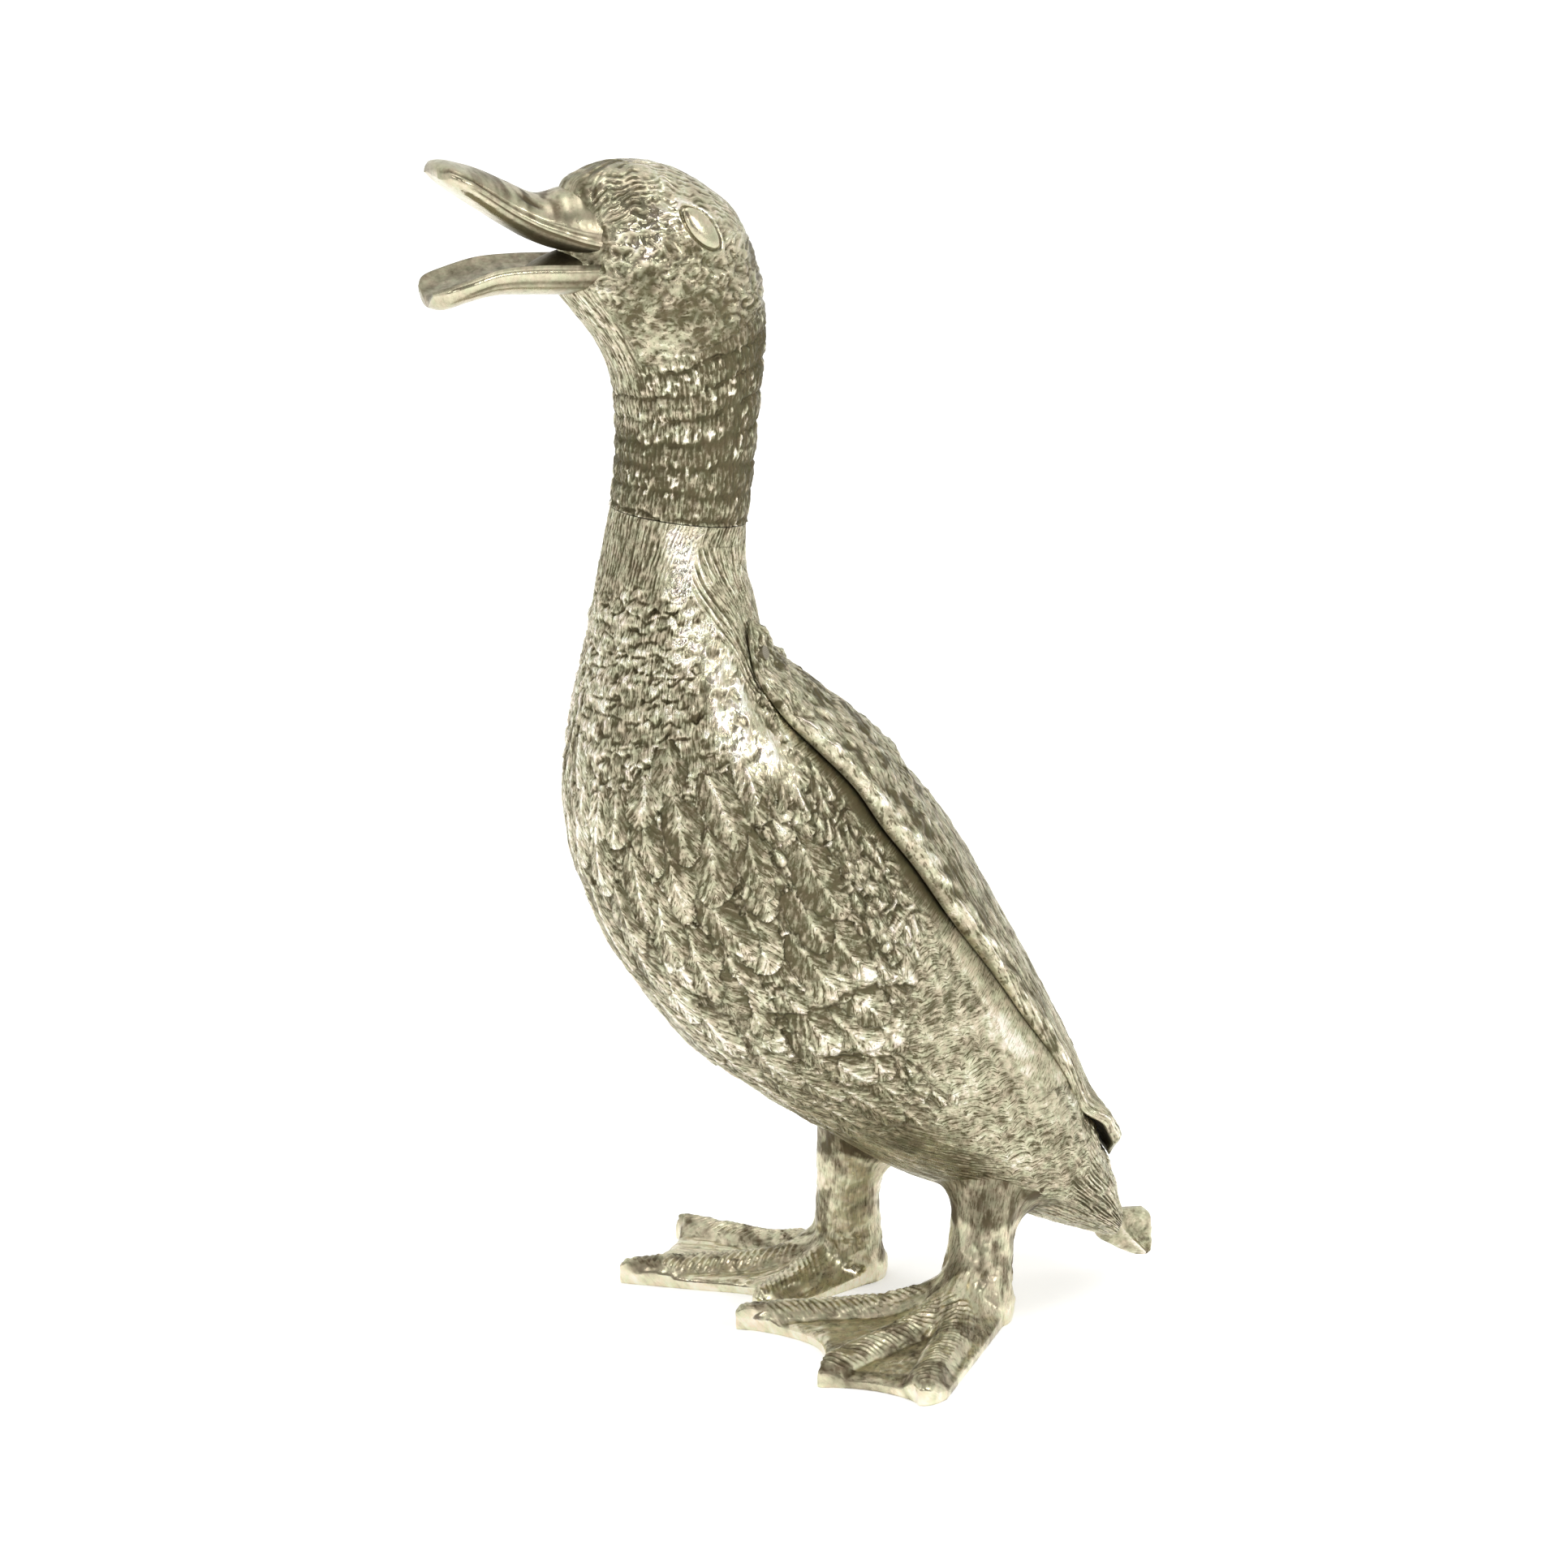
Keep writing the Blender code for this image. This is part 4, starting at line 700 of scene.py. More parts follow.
# Painted highlights: the shoulder's sheen and the neck's stripe are painted lighter.
tarnish_and_painted_light -= 0.55 * painted_sheen * rough + 0.62 * highlight_stripe + 0.02 * under * rough
lane_tone = -0.13 - 0.44 * bald + 0.12 * (1 - 6 * across_lane ** 2)
tarnish_and_painted_light += rough * rear * (1 - under) * (1 - tail) * lane_tone
tarnish_and_painted_light -= 0.10 * rough * (1 - rear) * (1 - collar) * ease(138.0, 160.0, turned)
waist = ease(5.2, 6.4, place) * (1 - ease(8.6, 10.0, place)) * (1 - ease(134.0, 150.0, turned))
tarnish_and_painted_light += 0.16 * rough * waist
# Under the wing the bare ledge gets painted shadow: it is dark in its middle and in the shadow of the wing's
# edge.
painted_ledge_shade = ease(5.0, 7.5, place) * (1 - ease(9.6, 10.4, place))
shaded = ease(4.6, 6.0, place) * (1 - ease(9.8, 10.8, place))
painted_wing_shadow = (1 - ease(51.0, 61.0, turned)) * ease(4.4, 5.4, place) * (1 - ease(12.8, 13.6, place))
ledge_level = shaded * (0.26 * cross + 0.40) + 0.15 * painted_ledge_shade - 0.24 - 0.22 * (1 - shaded)
tarnish_and_painted_light += bare * ledge_level + 0.32 * bare * painted_wing_shadow
rubbed = np.clip(np.maximum(0.75 * np.maximum(painted_sheen, highlight_stripe), rear * 0.95 * bald), 0, 1)
rubbed = np.maximum(rubbed * rough, np.maximum(0.5 * bare, 0.5 * under))
matte = np.clip(0.9 * rear * bald + bare * ease(9.6, 10.8, place), 0, 1)

points = base + outward * height[..., None]
lining = skin(BODY_ROWS, place, angle) - outward * CAST_WALL
grain = np.stack((grain_along, grain_across, np.zeros_like(run)), -1)
# The tail's end is closed by a shallow dome.
TAIL_LOOK_BACK = 30
middle = points[-1].mean(axis=0)
backwards = middle - points[-TAIL_LOOK_BACK].mean(axis=0)
backwards = backwards / np.linalg.norm(backwards)
bulge = np.linspace(0.0, pi / 2, TAIL_RINGS + 2)[1:-1, None, None]
dome = middle + (points[-1] - middle) * np.cos(bulge) + backwards * TAIL_BULGE * np.sin(bulge)
points = np.concatenate((points, dome))
normals = grid_normals(points)
tarnish_and_painted_light, grain, rubbed, matte = [np.concatenate((field, np.repeat(field[-1:], TAIL_RINGS, 0)))
                                 for field in (tarnish_and_painted_light, grain, rubbed, matte)]
ring = np.arange(BODY_COLUMNS)
after = (ring + 1) % BODY_COLUMNS
for k, name in enumerate(BANDS):
    last = k == len(BANDS) - 1
    rows = slice(k * BAND_ROWS, (k + 1) * BAND_ROWS + 1 + TAIL_RINGS * last)
    outer, inner = points[rows], lining[rows][::LINING_STEP]
    start = len(outer) * BODY_COLUMNS
    far, far_in = start - BODY_COLUMNS, start + (len(inner) - 1) * BODY_COLUMNS
    near_rim = np.stack((after, ring, ring + start, after + start), -1)
    far_rim = np.stack((ring + far, after + far, after + far_in, ring + far_in), -1)
    quads = np.concatenate((
        sheet_quads(len(outer), BODY_COLUMNS, True),
        sheet_quads(len(inner), BODY_COLUMNS, True, start)[:, ::-1],
        near_rim,
    ) + (() if last else (far_rim,)))
    ends = (ring + far, (ring + far_in)[::-1]) if last else ()
    band = mesh_piece(name, both_walls(outer, inner), quads, ends, {
        "tarnish_and_painted_light": lined(tarnish_and_painted_light[rows], inner, LINING_TARNISH),
        "grain": both_walls(grain[rows], inner),
        "rubbed": lined(rubbed[rows], inner, 0.0),
        "matte": lined(matte[rows], inner, 0.0),
    })
    facing_out = both_walls(normals[rows], -outward[rows][::LINING_STEP])
    band.data.normals_split_custom_set_from_vertices(facing_out.tolist())
    dress(band, aged_silver, "body_shell")


# Head casting: upper neck and head in one hollow casting of the same plated metal, set on the
# body over a sleeve. It is tooled in bands on the neck and in curls on the cheeks.
# Each row: Y and Z on the throat's line, Y and Z on the nape's line, and the half width.
HEAD_ROWS = np.array((
    (-46.9, 226.5, -11.9, 221.5, 18.0),
    (-45.4, 238.0, -10.0, 235.5, 18.0),
    (-45.2, 251.0, -8.4, 250.5, 18.2),
    (-47.0, 261.5, -7.2, 262.0, 18.6),
    (-51.2, 270.5, -6.4, 271.5, 19.2),
    (-57.4, 278.5, -6.9, 281.0, 20.0),
    (-62.2, 285.2, -8.6, 288.8, 20.4),
    (-61.2, 292.0, -11.3, 296.0, 20.2),
    (-60.9, 300.0, -15.2, 303.2, 19.0),
    (-61.2, 306.8, -21.4, 308.4, 16.4),
    (-59.0, 312.0, -28.0, 312.6, 12.6),
    (-52.0, 315.2, -35.0, 315.2, 7.4),
    (-45.0, 316.2, -40.0, 316.2, 2.6),
))
HEAD_COLUMNS = 340
HEAD_COUNT = 276
# Rows of the head's grid that its inner wall is made from.
HEAD_LINING = slice(0, 236, 18)
HEAD_RADIUS = 0.33
SEAM_GAP = 0.3
EYE_PLACE = (7.78, 69.0)
EYE_SIZE = (6.6, 3.3)
EYE_TILT = 50.0
EYE_TAPER = 0.12
NUDGE = 0.02


def head_pinch(place):
    """How far the head narrows towards the throat."""
    return 0.30 * np.clip((place - 3.0) / 3.0, 0.0, 1.0)


def slopes(rows, place, angle):
    """Short steps on a skin, along it and round it."""
    along = skin(rows, place + NUDGE, angle) - skin(rows, place - NUDGE, angle)
    return along, skin(rows, place, angle + NUDGE) - skin(rows, place, angle - NUDGE)


def surface_frame(rows, place, angle):
    """Point, outward normal, and the eye's long and short way at a place of the head."""
    place, angle = np.array(place), np.array(angle)
    normal = np.cross(*slopes(rows, place, angle))
    normal = normal / np.linalg.norm(normal)
    long_way = np.array((0.0, cos(radians(EYE_TILT)), -sin(radians(EYE_TILT))))
    long_way = long_way - normal * long_way.dot(normal)
    long_way = long_way / np.linalg.norm(long_way)
    return skin(rows, place, angle), normal, long_way, np.cross(normal, long_way)


places = np.linspace(0.0, len(HEAD_ROWS) - 1.0, HEAD_COUNT)
place, angle = np.meshgrid(places, full_turn(HEAD_COLUMNS), indexing="ij")
base = skin(HEAD_ROWS, place, angle, head_pinch(place))
neck_way = np.array((0.0, 5.0, 35.0)) / np.hypot(5.0, 35.0)
base = base + neck_way * SEAM_GAP * (1 - ease(0.0, 0.5, place))[..., None]
outward = -grid_normals(base)
turned = 180.0 - np.abs(180.0 - np.degrees(angle))
run = np.repeat(length_along(HEAD_ROWS, places)[:, None], HEAD_COLUMNS, 1)
arc = np.where(angle < pi, 1.0, -1.0) * turned * HEAD_RADIUS
x, y, z = base[..., 0], base[..., 1], base[..., 2]

# Bands of short upright strokes round the neck, which climb towards the nape.
climb = ease(0.3, 3.6, place) * 5.0
ring = run - climb * np.cos(angle) + 0.9 * wander(arc / 6.0, run / 9.0, 101)
ring = ring + 0.45 * wander(arc / 1.7, run / 5.0, 119) + 0.22 * wander(arc / 0.7, run / 3.0, 120)
step = np.mod(ring / 7.0 + 0.35, 1.0)
which = np.floor(ring / 7.0 + 0.35)
worn = ease(-0.7, 0.3, wander(arc / 3.0 + 5.0 * which, which * 3.1, 99))
band_line = hump(step, 0.5, 0.036) * worn
half_step = np.mod(ring / 3.5 + 0.1, 1.0)
half_line = hump(half_step, 0.5, 0.09) * ease(0.0, 0.4, wander(arc / 3.0, run / 5.0, 102))
banded = 1 - ease(3.4, 4.4, place - 0.7 * np.cos(angle))
banded = banded * (1 - ease(142.0, 156.0, turned) * ease(2.4, 3.0, place))
upright = strokes(run, arc, 5.0, 1.3, 103, 0.85, 0.5)
knobs = 0.6 * wander(arc / 1.0, run / 1.5, 104) + 0.4 * wander(arc / 0.7, run / 0.9, 94)
# Long strokes down the throat.
throat = ease(132.0, 148.0, turned + 4 * wander(run / 6.0, arc / 6.0, 105))
throat = throat * ease(2.3, 2.9, place) * (1 - ease(5.6, 6.4, place))
throat_lines = strokes(run, arc * 1.1, 13.0, 1.3, 106, 0.9, 0.6)
# Wavy strokes that sweep back over the crown, behind a smooth root of the bill.
crown = ease(297.0, 305.0, z + 0.10 * (y + 40.0) + 2.0 * mottle(y / 7.0, x / 7.0, 107))
over = 22.0 * np.arctan2(np.abs(x), z - 288.0)
wavy = over + 0.8 * wander(y / 2.6, over / 5.0, 108) + 0.3 * wander(y / 1.1, over / 3.0, 98)
crown_lines = strokes(y, wavy, 4.6, 1.6, 109, 0.8, 0.6)
root_edge = turned - 132.5 + 1.2 * wander(run / 2.5, run * 0, 97)
root = ease(0.0, 3.5, root_edge + 2.0 * mottle(run / 2.0, turned / 4.0, 89)) * ease(6.7, 7.1, place)
root_line = hump(root_edge, -0.8, 1.3) * ease(6.8, 7.2, place) * (1 - ease(10.3, 10.9, place))
# Curled down on the cheeks: small rings low and behind, squiggles in front.
cheek = (1 - banded) * (1 - throat) * (1 - crown)


def ringlets(u, v, pitch, seed):
    """Small open curls set about a pitch apart: a spiral furrow round each centre."""
    i, j = np.floor(u / pitch), np.floor(v / pitch)
    nearest = np.full(u.shape, 9.0)
    furrow = np.zeros(u.shape)
    for a in (-1, 0, 1):
        for b in (-1, 0, 1):
            ci, cj = i + a, j + b
            du = u / pitch - ci - 0.2 - 0.6 * chance(ci, cj, seed)
            dv = v / pitch - cj - 0.2 - 0.6 * chance(ci, cj, seed + 1)
            r = np.hypot(du, dv * 1.25)
            turn_at = np.arctan2(dv, du) / (2 * pi) + chance(ci, cj, seed + 2)
            handed = np.where(chance(ci, cj, seed + 3) < 0.5, 1, -1)
            spiral = 0.5 - 0.5 * np.cos(2 * pi * (r / 0.40 + handed * turn_at))
            closer = r < nearest
            furrow = np.where(closer, spiral * (1 - ease(0.42, 0.62, r)), furrow)
            nearest = np.minimum(nearest, r)
    return furrow, ease(0.45, 0.75, nearest)


u_cheek = y + 0.9 * wander(y / 4.0, z / 4.0, 111)
v_cheek = z + 0.9 * wander(y / 4.0 + 9.0, z / 4.0, 111)
ring_cut, between = ringlets(u_cheek, v_cheek, 6.2, 112)
ring_zone = ease(-46.0, -38.0, y + 0.5 * (294.0 - z)) * (1 - ease(288.0, 296.0, z))
squiggle = strokes(z + 0.4 * y, y - 0.3 * z + 1.3 * wander(z / 2.0, y / 3.0, 113), 4.2, 2.3, 91, 0.85, 0.9)
curl = ring_zone * np.maximum(0.9 * ring_cut, 0.5 * between) + (1 - ring_zone) * squiggle
clumps = 0.6 * wander(u_cheek / 2.6, v_cheek / 2.2, 115) + 0.3 * wander(u_cheek / 1.2, v_cheek / 1.2, 114)

eye, eye_out, eye_long, eye_short = surface_frame(HEAD_ROWS, EYE_PLACE[0], radians(EYE_PLACE[1]))
away = np.stack((np.abs(x), y, z), -1) - eye
e_long, e_short = away @ eye_long / EYE_SIZE[0], away @ eye_short / EYE_SIZE[1]
pointed = 1 - EYE_TAPER * np.clip(np.abs(e_long), 0, 1) ** 2
eye_ring = np.sqrt(e_long ** 2 + (e_short / pointed) ** 2)
near_eye = 1 - ease(1.15, 1.5, eye_ring)

height = banded * (0.50 * np.sin(pi * np.mod(step + 0.5, 1.0)) ** 0.6 - 0.50 * band_line - 0.30 * half_line
                   - 0.26 * upright + 0.40 * knobs - 0.2)
height += throat * (-0.34 * throat_lines)
height += crown * (1 - root) * (-0.24 * crown_lines + 0.22 * mottle(y / 3.0, over / 2.5, 116))
height += cheek * (1 - root) * (0.15 - 0.45 * curl + 0.60 * clumps) * (1 - near_eye)
height += root * 0.30 * mottle(run / 3.0, arc / 2.5, 88) - 0.22 * root_line
height = height * (1 - near_eye) - 0.50 * hump(eye_ring, 1.07, 0.09)
lid = ease(-0.4, 0.6, e_short / np.maximum(eye_ring, 0.1))
height += 0.40 * hump(eye_ring, 1.30, 0.18) * (0.35 + 0.65 * lid)
height += 0.08 * mottle(arc / 0.8, run / 0.8, 116) * (1 - root)

hollow = blur(height, 4) - height
patch = mottle(y / 9.0, z / 9.0, 117)
tarnish_and_painted_light = 0.54 + 0.95 * hollow + 0.46 * patch + 0.24 * mottle(y / 2.4, z / 2.4, 118)
# Painted shade: the back of the neck is painted darker, standing in for a dark reflection.
painted_nape_shade = 1 - ease(70.0, 120.0, turned)
tarnish_and_painted_light += banded * (0.32 + 0.26 * painted_nape_shade + 0.16 * band_line + 0.16 * half_line + 0.34 * upright)
tarnish_and_painted_light -= banded * 1.05 * ease(0.22, 0.48, knobs) * ease(-0.2, 0.3, wander(arc / 4.0, run / 4.0, 96))
tarnish_and_painted_light += (throat * (0.40 * throat_lines - 0.1) + crown * (0.44 * crown_lines - 0.34) * (1 - root)
            + cheek * 0.12 * curl)
shade = np.exp(-((y + 33.0) / 11.0) ** 2 - ((z - 281.0) / 8.0) ** 2)
shade = shade + 0.9 * np.exp(-((y + 50.0) / 9.0) ** 2 - ((z - 274.0) / 7.0) ** 2)
# Painted highlight: a pale patch on the cheek just behind the bill.
painted_cheek_highlight = np.exp(-((y + 46.0) / 6.5) ** 2 - ((z - 297.5) / 6.5) ** 2) * (1 - root)
tarnish_and_painted_light -= 0.50 * painted_cheek_highlight * ease(-0.4, 0.3, clumps)
tarnish_and_painted_light += (0.34 * shade * cheek * ease(-0.5, 0.2, patch) - 0.1 * near_eye
            + root * 0.40 * mottle(run / 2.6, arc / 2.6, 87))
tarnish_and_painted_light += 0.22 * root_line + 0.8 * hump(eye_ring, 1.05, 0.07) * (0.4 + 0.6 * lid)
rubbed = np.maximum(np.maximum(0.9 * root, 0.7 * near_eye), 0.5 * painted_cheek_highlight)
rubbed = np.clip(rubbed + (0.70 * crown + 0.45 * cheek) * (1 - root), 0, 1)
grain_along = np.where(crown > 0.5, y, run)
grain_across = np.where(crown > 0.5, wavy, np.abs(arc))
grain_along = np.where(cheek > 0.5, 2.0 * u_cheek, grain_along)
grain_across = np.where(cheek > 0.5, 0.5 * v_cheek, grain_across)
grain = np.stack((grain_along, grain_across, np.zeros_like(run)), -1)

points = base + outward * height[..., None]
lining = (skin(HEAD_ROWS, place, angle, head_pinch(place)) - outward * CAST_WALL)[HEAD_LINING]
start = HEAD_COUNT * HEAD_COLUMNS
ring = np.arange(HEAD_COLUMNS)
after = (ring + 1) % HEAD_COLUMNS
quads = np.concatenate((
    sheet_quads(HEAD_COUNT, HEAD_COLUMNS, True)[:, ::-1],
    sheet_quads(len(lining), HEAD_COLUMNS, True, start),
    np.stack((ring, after, after + start, ring + start), -1),
))
ends = ((start - HEAD_COLUMNS + ring)[::-1], start + (len(lining) - 1) * HEAD_COLUMNS + ring)
head = mesh_piece("head_casting", both_walls(points, lining), quads, ends, {
    "tarnish_and_painted_light": lined(tarnish_and_painted_light, lining, LINING_TARNISH),
    "grain": both_walls(grain, lining),
    "rubbed": lined(rubbed, lining, 0.0),
})
dress(head, aged_silver, "head_shell")


# Upper bill: part of the head casting, hollow from below. It is smooth, plated and rubbed
# bright, with a lip along its edge and a slit for each nostril.
# Each row: Y and Z of the ridge, Y and Z of the lip, and the half width.
UPPER_BILL_ROWS = np.array((
    (-50.0, 311.0, -50.0, 292.6, 12.2),
    (-60.0, 310.2, -58.0, 293.8, 11.8),
    (-67.0, 309.0, -65.5, 295.8, 10.8),
    (-75.2, 312.6, -73.5, 299.8, 10.4),
    (-83.0, 316.2, -81.6, 305.0, 11.2),
    (-89.5, 317.9, -88.8, 309.8, 11.8),
    (-92.6, 318.0, -92.4, 312.6, 9.8),
    (-93.9, 317.4, -94.1, 314.8, 5.6),
))
LIP_HEIGHT = 4.8
LIP_WIDTH = 1.7
BILL_COLUMNS, BILL_COUNT = 160, 170
BILL_CROWDING = 1.15


def bill_grid(rows):
    """Place, angle and table row of each point of a bill, closer together towards its tip."""
    share = 1 - (1 - np.linspace(0, 1, BILL_COUNT)) ** BILL_CROWDING
    place, angle = np.meshgrid((len(rows) - 1) * share, full_turn(BILL_COLUMNS), indexing="ij")
    return place, angle, smooth_rows(rows, place)


def flank_to_flank(row, angle, edge, other):
    """Points of a bill's edge, and the way and the distance from there to its other line."""
    points = np.stack((row[..., 4] * np.sin(angle), row[..., edge], row[..., edge + 1]), -1)
    way = row[..., other:other + 2] - row[..., edge:edge + 2]
    way = np.concatenate((np.zeros_like(way[..., :1]), way), -1)
    distance = np.linalg.norm(way, axis=-1)
    return points, way / distance[..., None], distance


def facing_away(base):
    """Normals of a ringed skin, each turned away from the middle of its ring."""
    normal = grid_normals(base)
    away = np.sum(normal * (base - base.mean(axis=1, keepdims=True)), -1)
    return normal * np.where(away < 0, -1.0, 1.0)[..., None]


def ringed_piece(name, points, tarnish_and_painted_light, material, node):
    """Closed piece of rings of points, with a flat face on each end."""
    rows, columns = points.shape[:2]
    ring = np.arange(columns)
    ends = (ring[::-1], (rows - 1) * columns + ring)
    piece = mesh_piece(name, points.reshape(-1, 3), sheet_quads(rows, columns, True), ends,
                       {"tarnish_and_painted_light": tarnish_and_painted_light.ravel()})
    dress(piece, material, node)


place, angle, row = bill_grid(UPPER_BILL_ROWS)
lip_point, up, tall = flank_to_flank(row, angle, 2, 0)
top_side = np.cos(angle) >= 0
rim_at = LIP_HEIGHT * ease(0.0, 2.0, 7.0 - place) * (0.65 + 0.35 * ease(0.0, 2.0, place))
rim_at = np.minimum(rim_at, 0.5 * tall)
dome = rim_at + (tall - rim_at) * np.abs(np.cos(angle)) ** 0.9
palate = rim_at * (1 - np.abs(np.cos(angle)) ** 0.8)
lift = np.where(top_side, dome, palate)
base = lip_point + up * lift[..., None]
x, y, z = base[..., 0], base[..., 1], base[..., 2]
above_rim = lift - rim_at
up_the_side = lift / np.maximum(tall, 1)
seam = hump(above_rim, LIP_WIDTH, 0.36) * ease(0.12, 0.5, tall / 12.0)
under_edge = hump(above_rim, -0.35, 0.40) * ~top_side * ease(-90.0, -84.0, y)
slit = np.exp(-((y + 70.5) / 3.0) ** 4 - ((up_the_side - 0.80) / 0.055) ** 2) * top_side
height = -0.35 * seam - 0.30 * under_edge - 0.6 * slit + 0.10 * mottle(y / 3.0, (x + z) / 3.0, 121)
height += 0.25 * ease(-84.0, -92.0, y) * top_side
blotch = ease(-0.1, 0.3, mottle(y / 5.0, (z + x) / 4.0, 122))
blotch = blotch * ease(-94.0, -70.0, y) * ease(0.35, 0.8, up_the_side)
tarnish_and_painted_light = 0.42 + 0.50 * seam + 0.8 * slit + 0.60 * blotch + 0.2 * mottle(y / 1.6, (z + x) / 1.6, 123)
inside = 0.16 + 0.70 * ease(-86.0, -68.0, y) + 0.12 * mottle(y / 3.0, x / 3.0, 124) + 0.8 * under_edge
tarnish_and_painted_light = np.where(top_side, tarnish_and_painted_light, inside)
bill_silver = silver("bill_silver", (0.61, 0.575, 0.44), (0.12, 0.098, 0.062), 0.05, 0.40, 0.45)
ringed_piece("upper_bill", base + facing_away(base) * height[..., None], tarnish_and_painted_light, bill_silver, "head_shell")


# Mouth: the tongue's root and the throat's lining close the space between the bills. They
# are part of the head casting, and dark.
MOUTH_TARNISH = 0.85


def corner_places(mesh):
    """Places of a mesh's corners, as they are stored."""
    spots = np.empty(len(mesh.vertices) * 3, np.float32)
    mesh.vertices.foreach_get("co", spots)
    return spots.reshape(-1, 3)


bpy.ops.mesh.primitive_uv_sphere_add(segments=48, ring_count=32, radius=1.0)
mouth = bpy.context.object
mouth.name = "mouth_lining"
spots = corner_places(mouth.data).astype(float)
wide = 8.6 + 2.2 * ease(-0.2, 1.0, spots[:, 1])
spots = np.stack((spots[:, 0] * wide, -60.5 + 10.5 * spots[:, 1],
                  289.6 + 4.6 * spots[:, 2] * (1.0 + 0.35 * spots[:, 1]) + 1.2 * spots[:, 1]), -1)
mouth.data.vertices.foreach_set("co", placed(spots))
mouth.data.update()
bpy.ops.object.shade_smooth()
paint(mouth.data, {"tarnish_and_painted_light": np.full(len(spots), MOUTH_TARNISH)})
dress(mouth, bill_silver, "head_shell")
bpy.ops.object.select_all(action="DESELECT")


# Lower bill: a shallow spoon with a rounded lip, of the same metal as the upper bill, cast
# apart and let into the throat.
# Each row: Y and Z of the rim, Y and Z of the keel, and the half width.
LOWER_BILL_ROWS = np.array((
    (-50.5, 291.6, -50.5, 283.2, 11.8),
    (-60.0, 292.0, -60.0, 283.2, 11.4),
    (-70.0, 292.4, -70.0, 283.7, 10.8),
    (-79.5, 292.0, -79.5, 284.0, 10.8),
    (-87.5, 290.0, -87.5, 282.6, 11.4),
    (-93.4, 288.2, -93.2, 281.2, 10.4),
    (-96.1, 286.4, -95.8, 281.8, 6.0),
))
TROUGH_DEPTH = 2.8
place, angle, row = bill_grid(LOWER_BILL_ROWS)
rim_point, below, deep = flank_to_flank(row, angle, 0, 2)
keel_side = np.cos(angle) >= 0
keel = deep * (0.25 + 0.75 * np.abs(np.cos(angle)) ** 0.8)
trough = TROUGH_DEPTH * np.clip(deep / 7.0, 0, 1) * (1 - np.sin(angle) ** 2)
drop = np.where(keel_side, keel, trough)
base = rim_point + below * drop[..., None]
x, y, z = base[..., 0], base[..., 1], base[..., 2]
edge = hump(np.cos(angle), -0.05, 0.16)
groove = hump(np.cos(angle), 0.30, 0.10) * ease(-92.0, -84.0, y)
height = 0.22 * edge - 0.22 * groove + 0.08 * mottle(y / 3.0, x / 3.0, 131)
tarnish_and_painted_light = np.where(keel_side, 0.34, 0.66 + 0.2 * mottle(y / 2.0, x / 2.0, 132)) - 0.15 * edge + 0.35 * groove
tarnish_and_painted_light = tarnish_and_painted_light + 0.14 * mottle(y / 1.5, (z + x) / 1.5, 133)
tarnish_and_painted_light = tarnish_and_painted_light + 0.40 * ease(-68.0, -54.0, y + 3 * mottle(y / 3.0, z / 2.0, 134))
spoon = base + facing_away(base) * height[..., None]
ringed_piece("lower_bill_spoon", spoon, tarnish_and_painted_light, bill_silver, "lower_bill")


# Eyes: smooth almond domes of the plated metal, set in sockets under a modelled lid.
# One dome is shaped for the left socket, and the right one is its mirror image.
EYE_SUNK, EYE_RISE = 0.4, 1.6
for side, sign in (("left", 1.0), ("right", -1.0)):
    bpy.ops.mesh.primitive_uv_sphere_add(segments=64, ring_count=40, radius=1.0)
    dome = bpy.context.object
    dome.name = side + "_eye_dome"
    spots = corner_places(dome.data).astype(float)
    taper = 1 - EYE_TAPER * np.abs(spots[:, 0]) ** 2
    shaped = (eye - eye_out * EYE_SUNK + spots[:, :1] * eye_long * EYE_SIZE[0]
              + (spots[:, 1] * taper)[:, None] * eye_short * EYE_SIZE[1] + spots[:, 2:] * eye_out * EYE_RISE)
    shaped[:, 0] *= sign
    dome.data.vertices.foreach_set("co", placed(shaped))
    dome.data.update()
    bpy.ops.object.mode_set(mode="EDIT")
    bpy.ops.mesh.select_all(action="SELECT")
    bpy.ops.mesh.normals_make_consistent(inside=False)
    bpy.ops.object.mode_set(mode="OBJECT")
    bpy.ops.object.shade_smooth()
    paint(dome.data, {
        "tarnish_and_painted_light": 0.30 + 0.2 * mottle(shaped[:, 1] / 2.0, shaped[:, 2] / 2.0, 141),
        "rubbed": np.full(len(shaped), 0.55),
    })
    dress(dome, aged_silver, side + "_eye")
    bpy.ops.object.select_all(action="DESELECT")


# Wings: one cast plate on each side, of the same plated metal, pinned over the back. Its front
# has the lumps of short covert feathers, and its rear has long quills.
# Each row: place along the wing, angle of its lower and upper edge, the gap under it and its
# thickness over the rim.
WING_ROWS = np.array((
    (0.00, 51.0, 44.0, 0.1, 0.4),
    (0.04, 55.5, 24.0, 0.3, 1.0),
    (0.09, 57.0, 7.0, 0.7, 2.0),
    (0.16, 55.0, 1.0, 0.6, 3.2),
    (0.35, 51.0, 0.6, 0.8, 4.0),
    (0.55, 51.5, 0.6, 0.8, 4.0),
    (0.72, 48.5, 0.6, 0.6, 3.4),
    (0.83, 43.5, 0.6, 0.2, 2.2),
    (0.885, 43.0, 1.0, -0.7, 2.4),
    (0.92, 44.0, 1.0, 3.4, 3.4),
    (0.96, 40.0, 1.0, 3.2, 4.2),
    (1.00, 30.0, 3.0, 1.0, 3.8),
))
WING_REACH = (2.5, 16.0)
WING_LONG, WING_WIDE = 400, 96
WING_LENGTH, WING_WIDTH = 175.0, 38.0
WING_OTHER_SIDE = 403.0
UNDERSIDE_STEP = 19
UNDERSIDE_TARNISH, WING_RUBBED = 0.8, 0.30


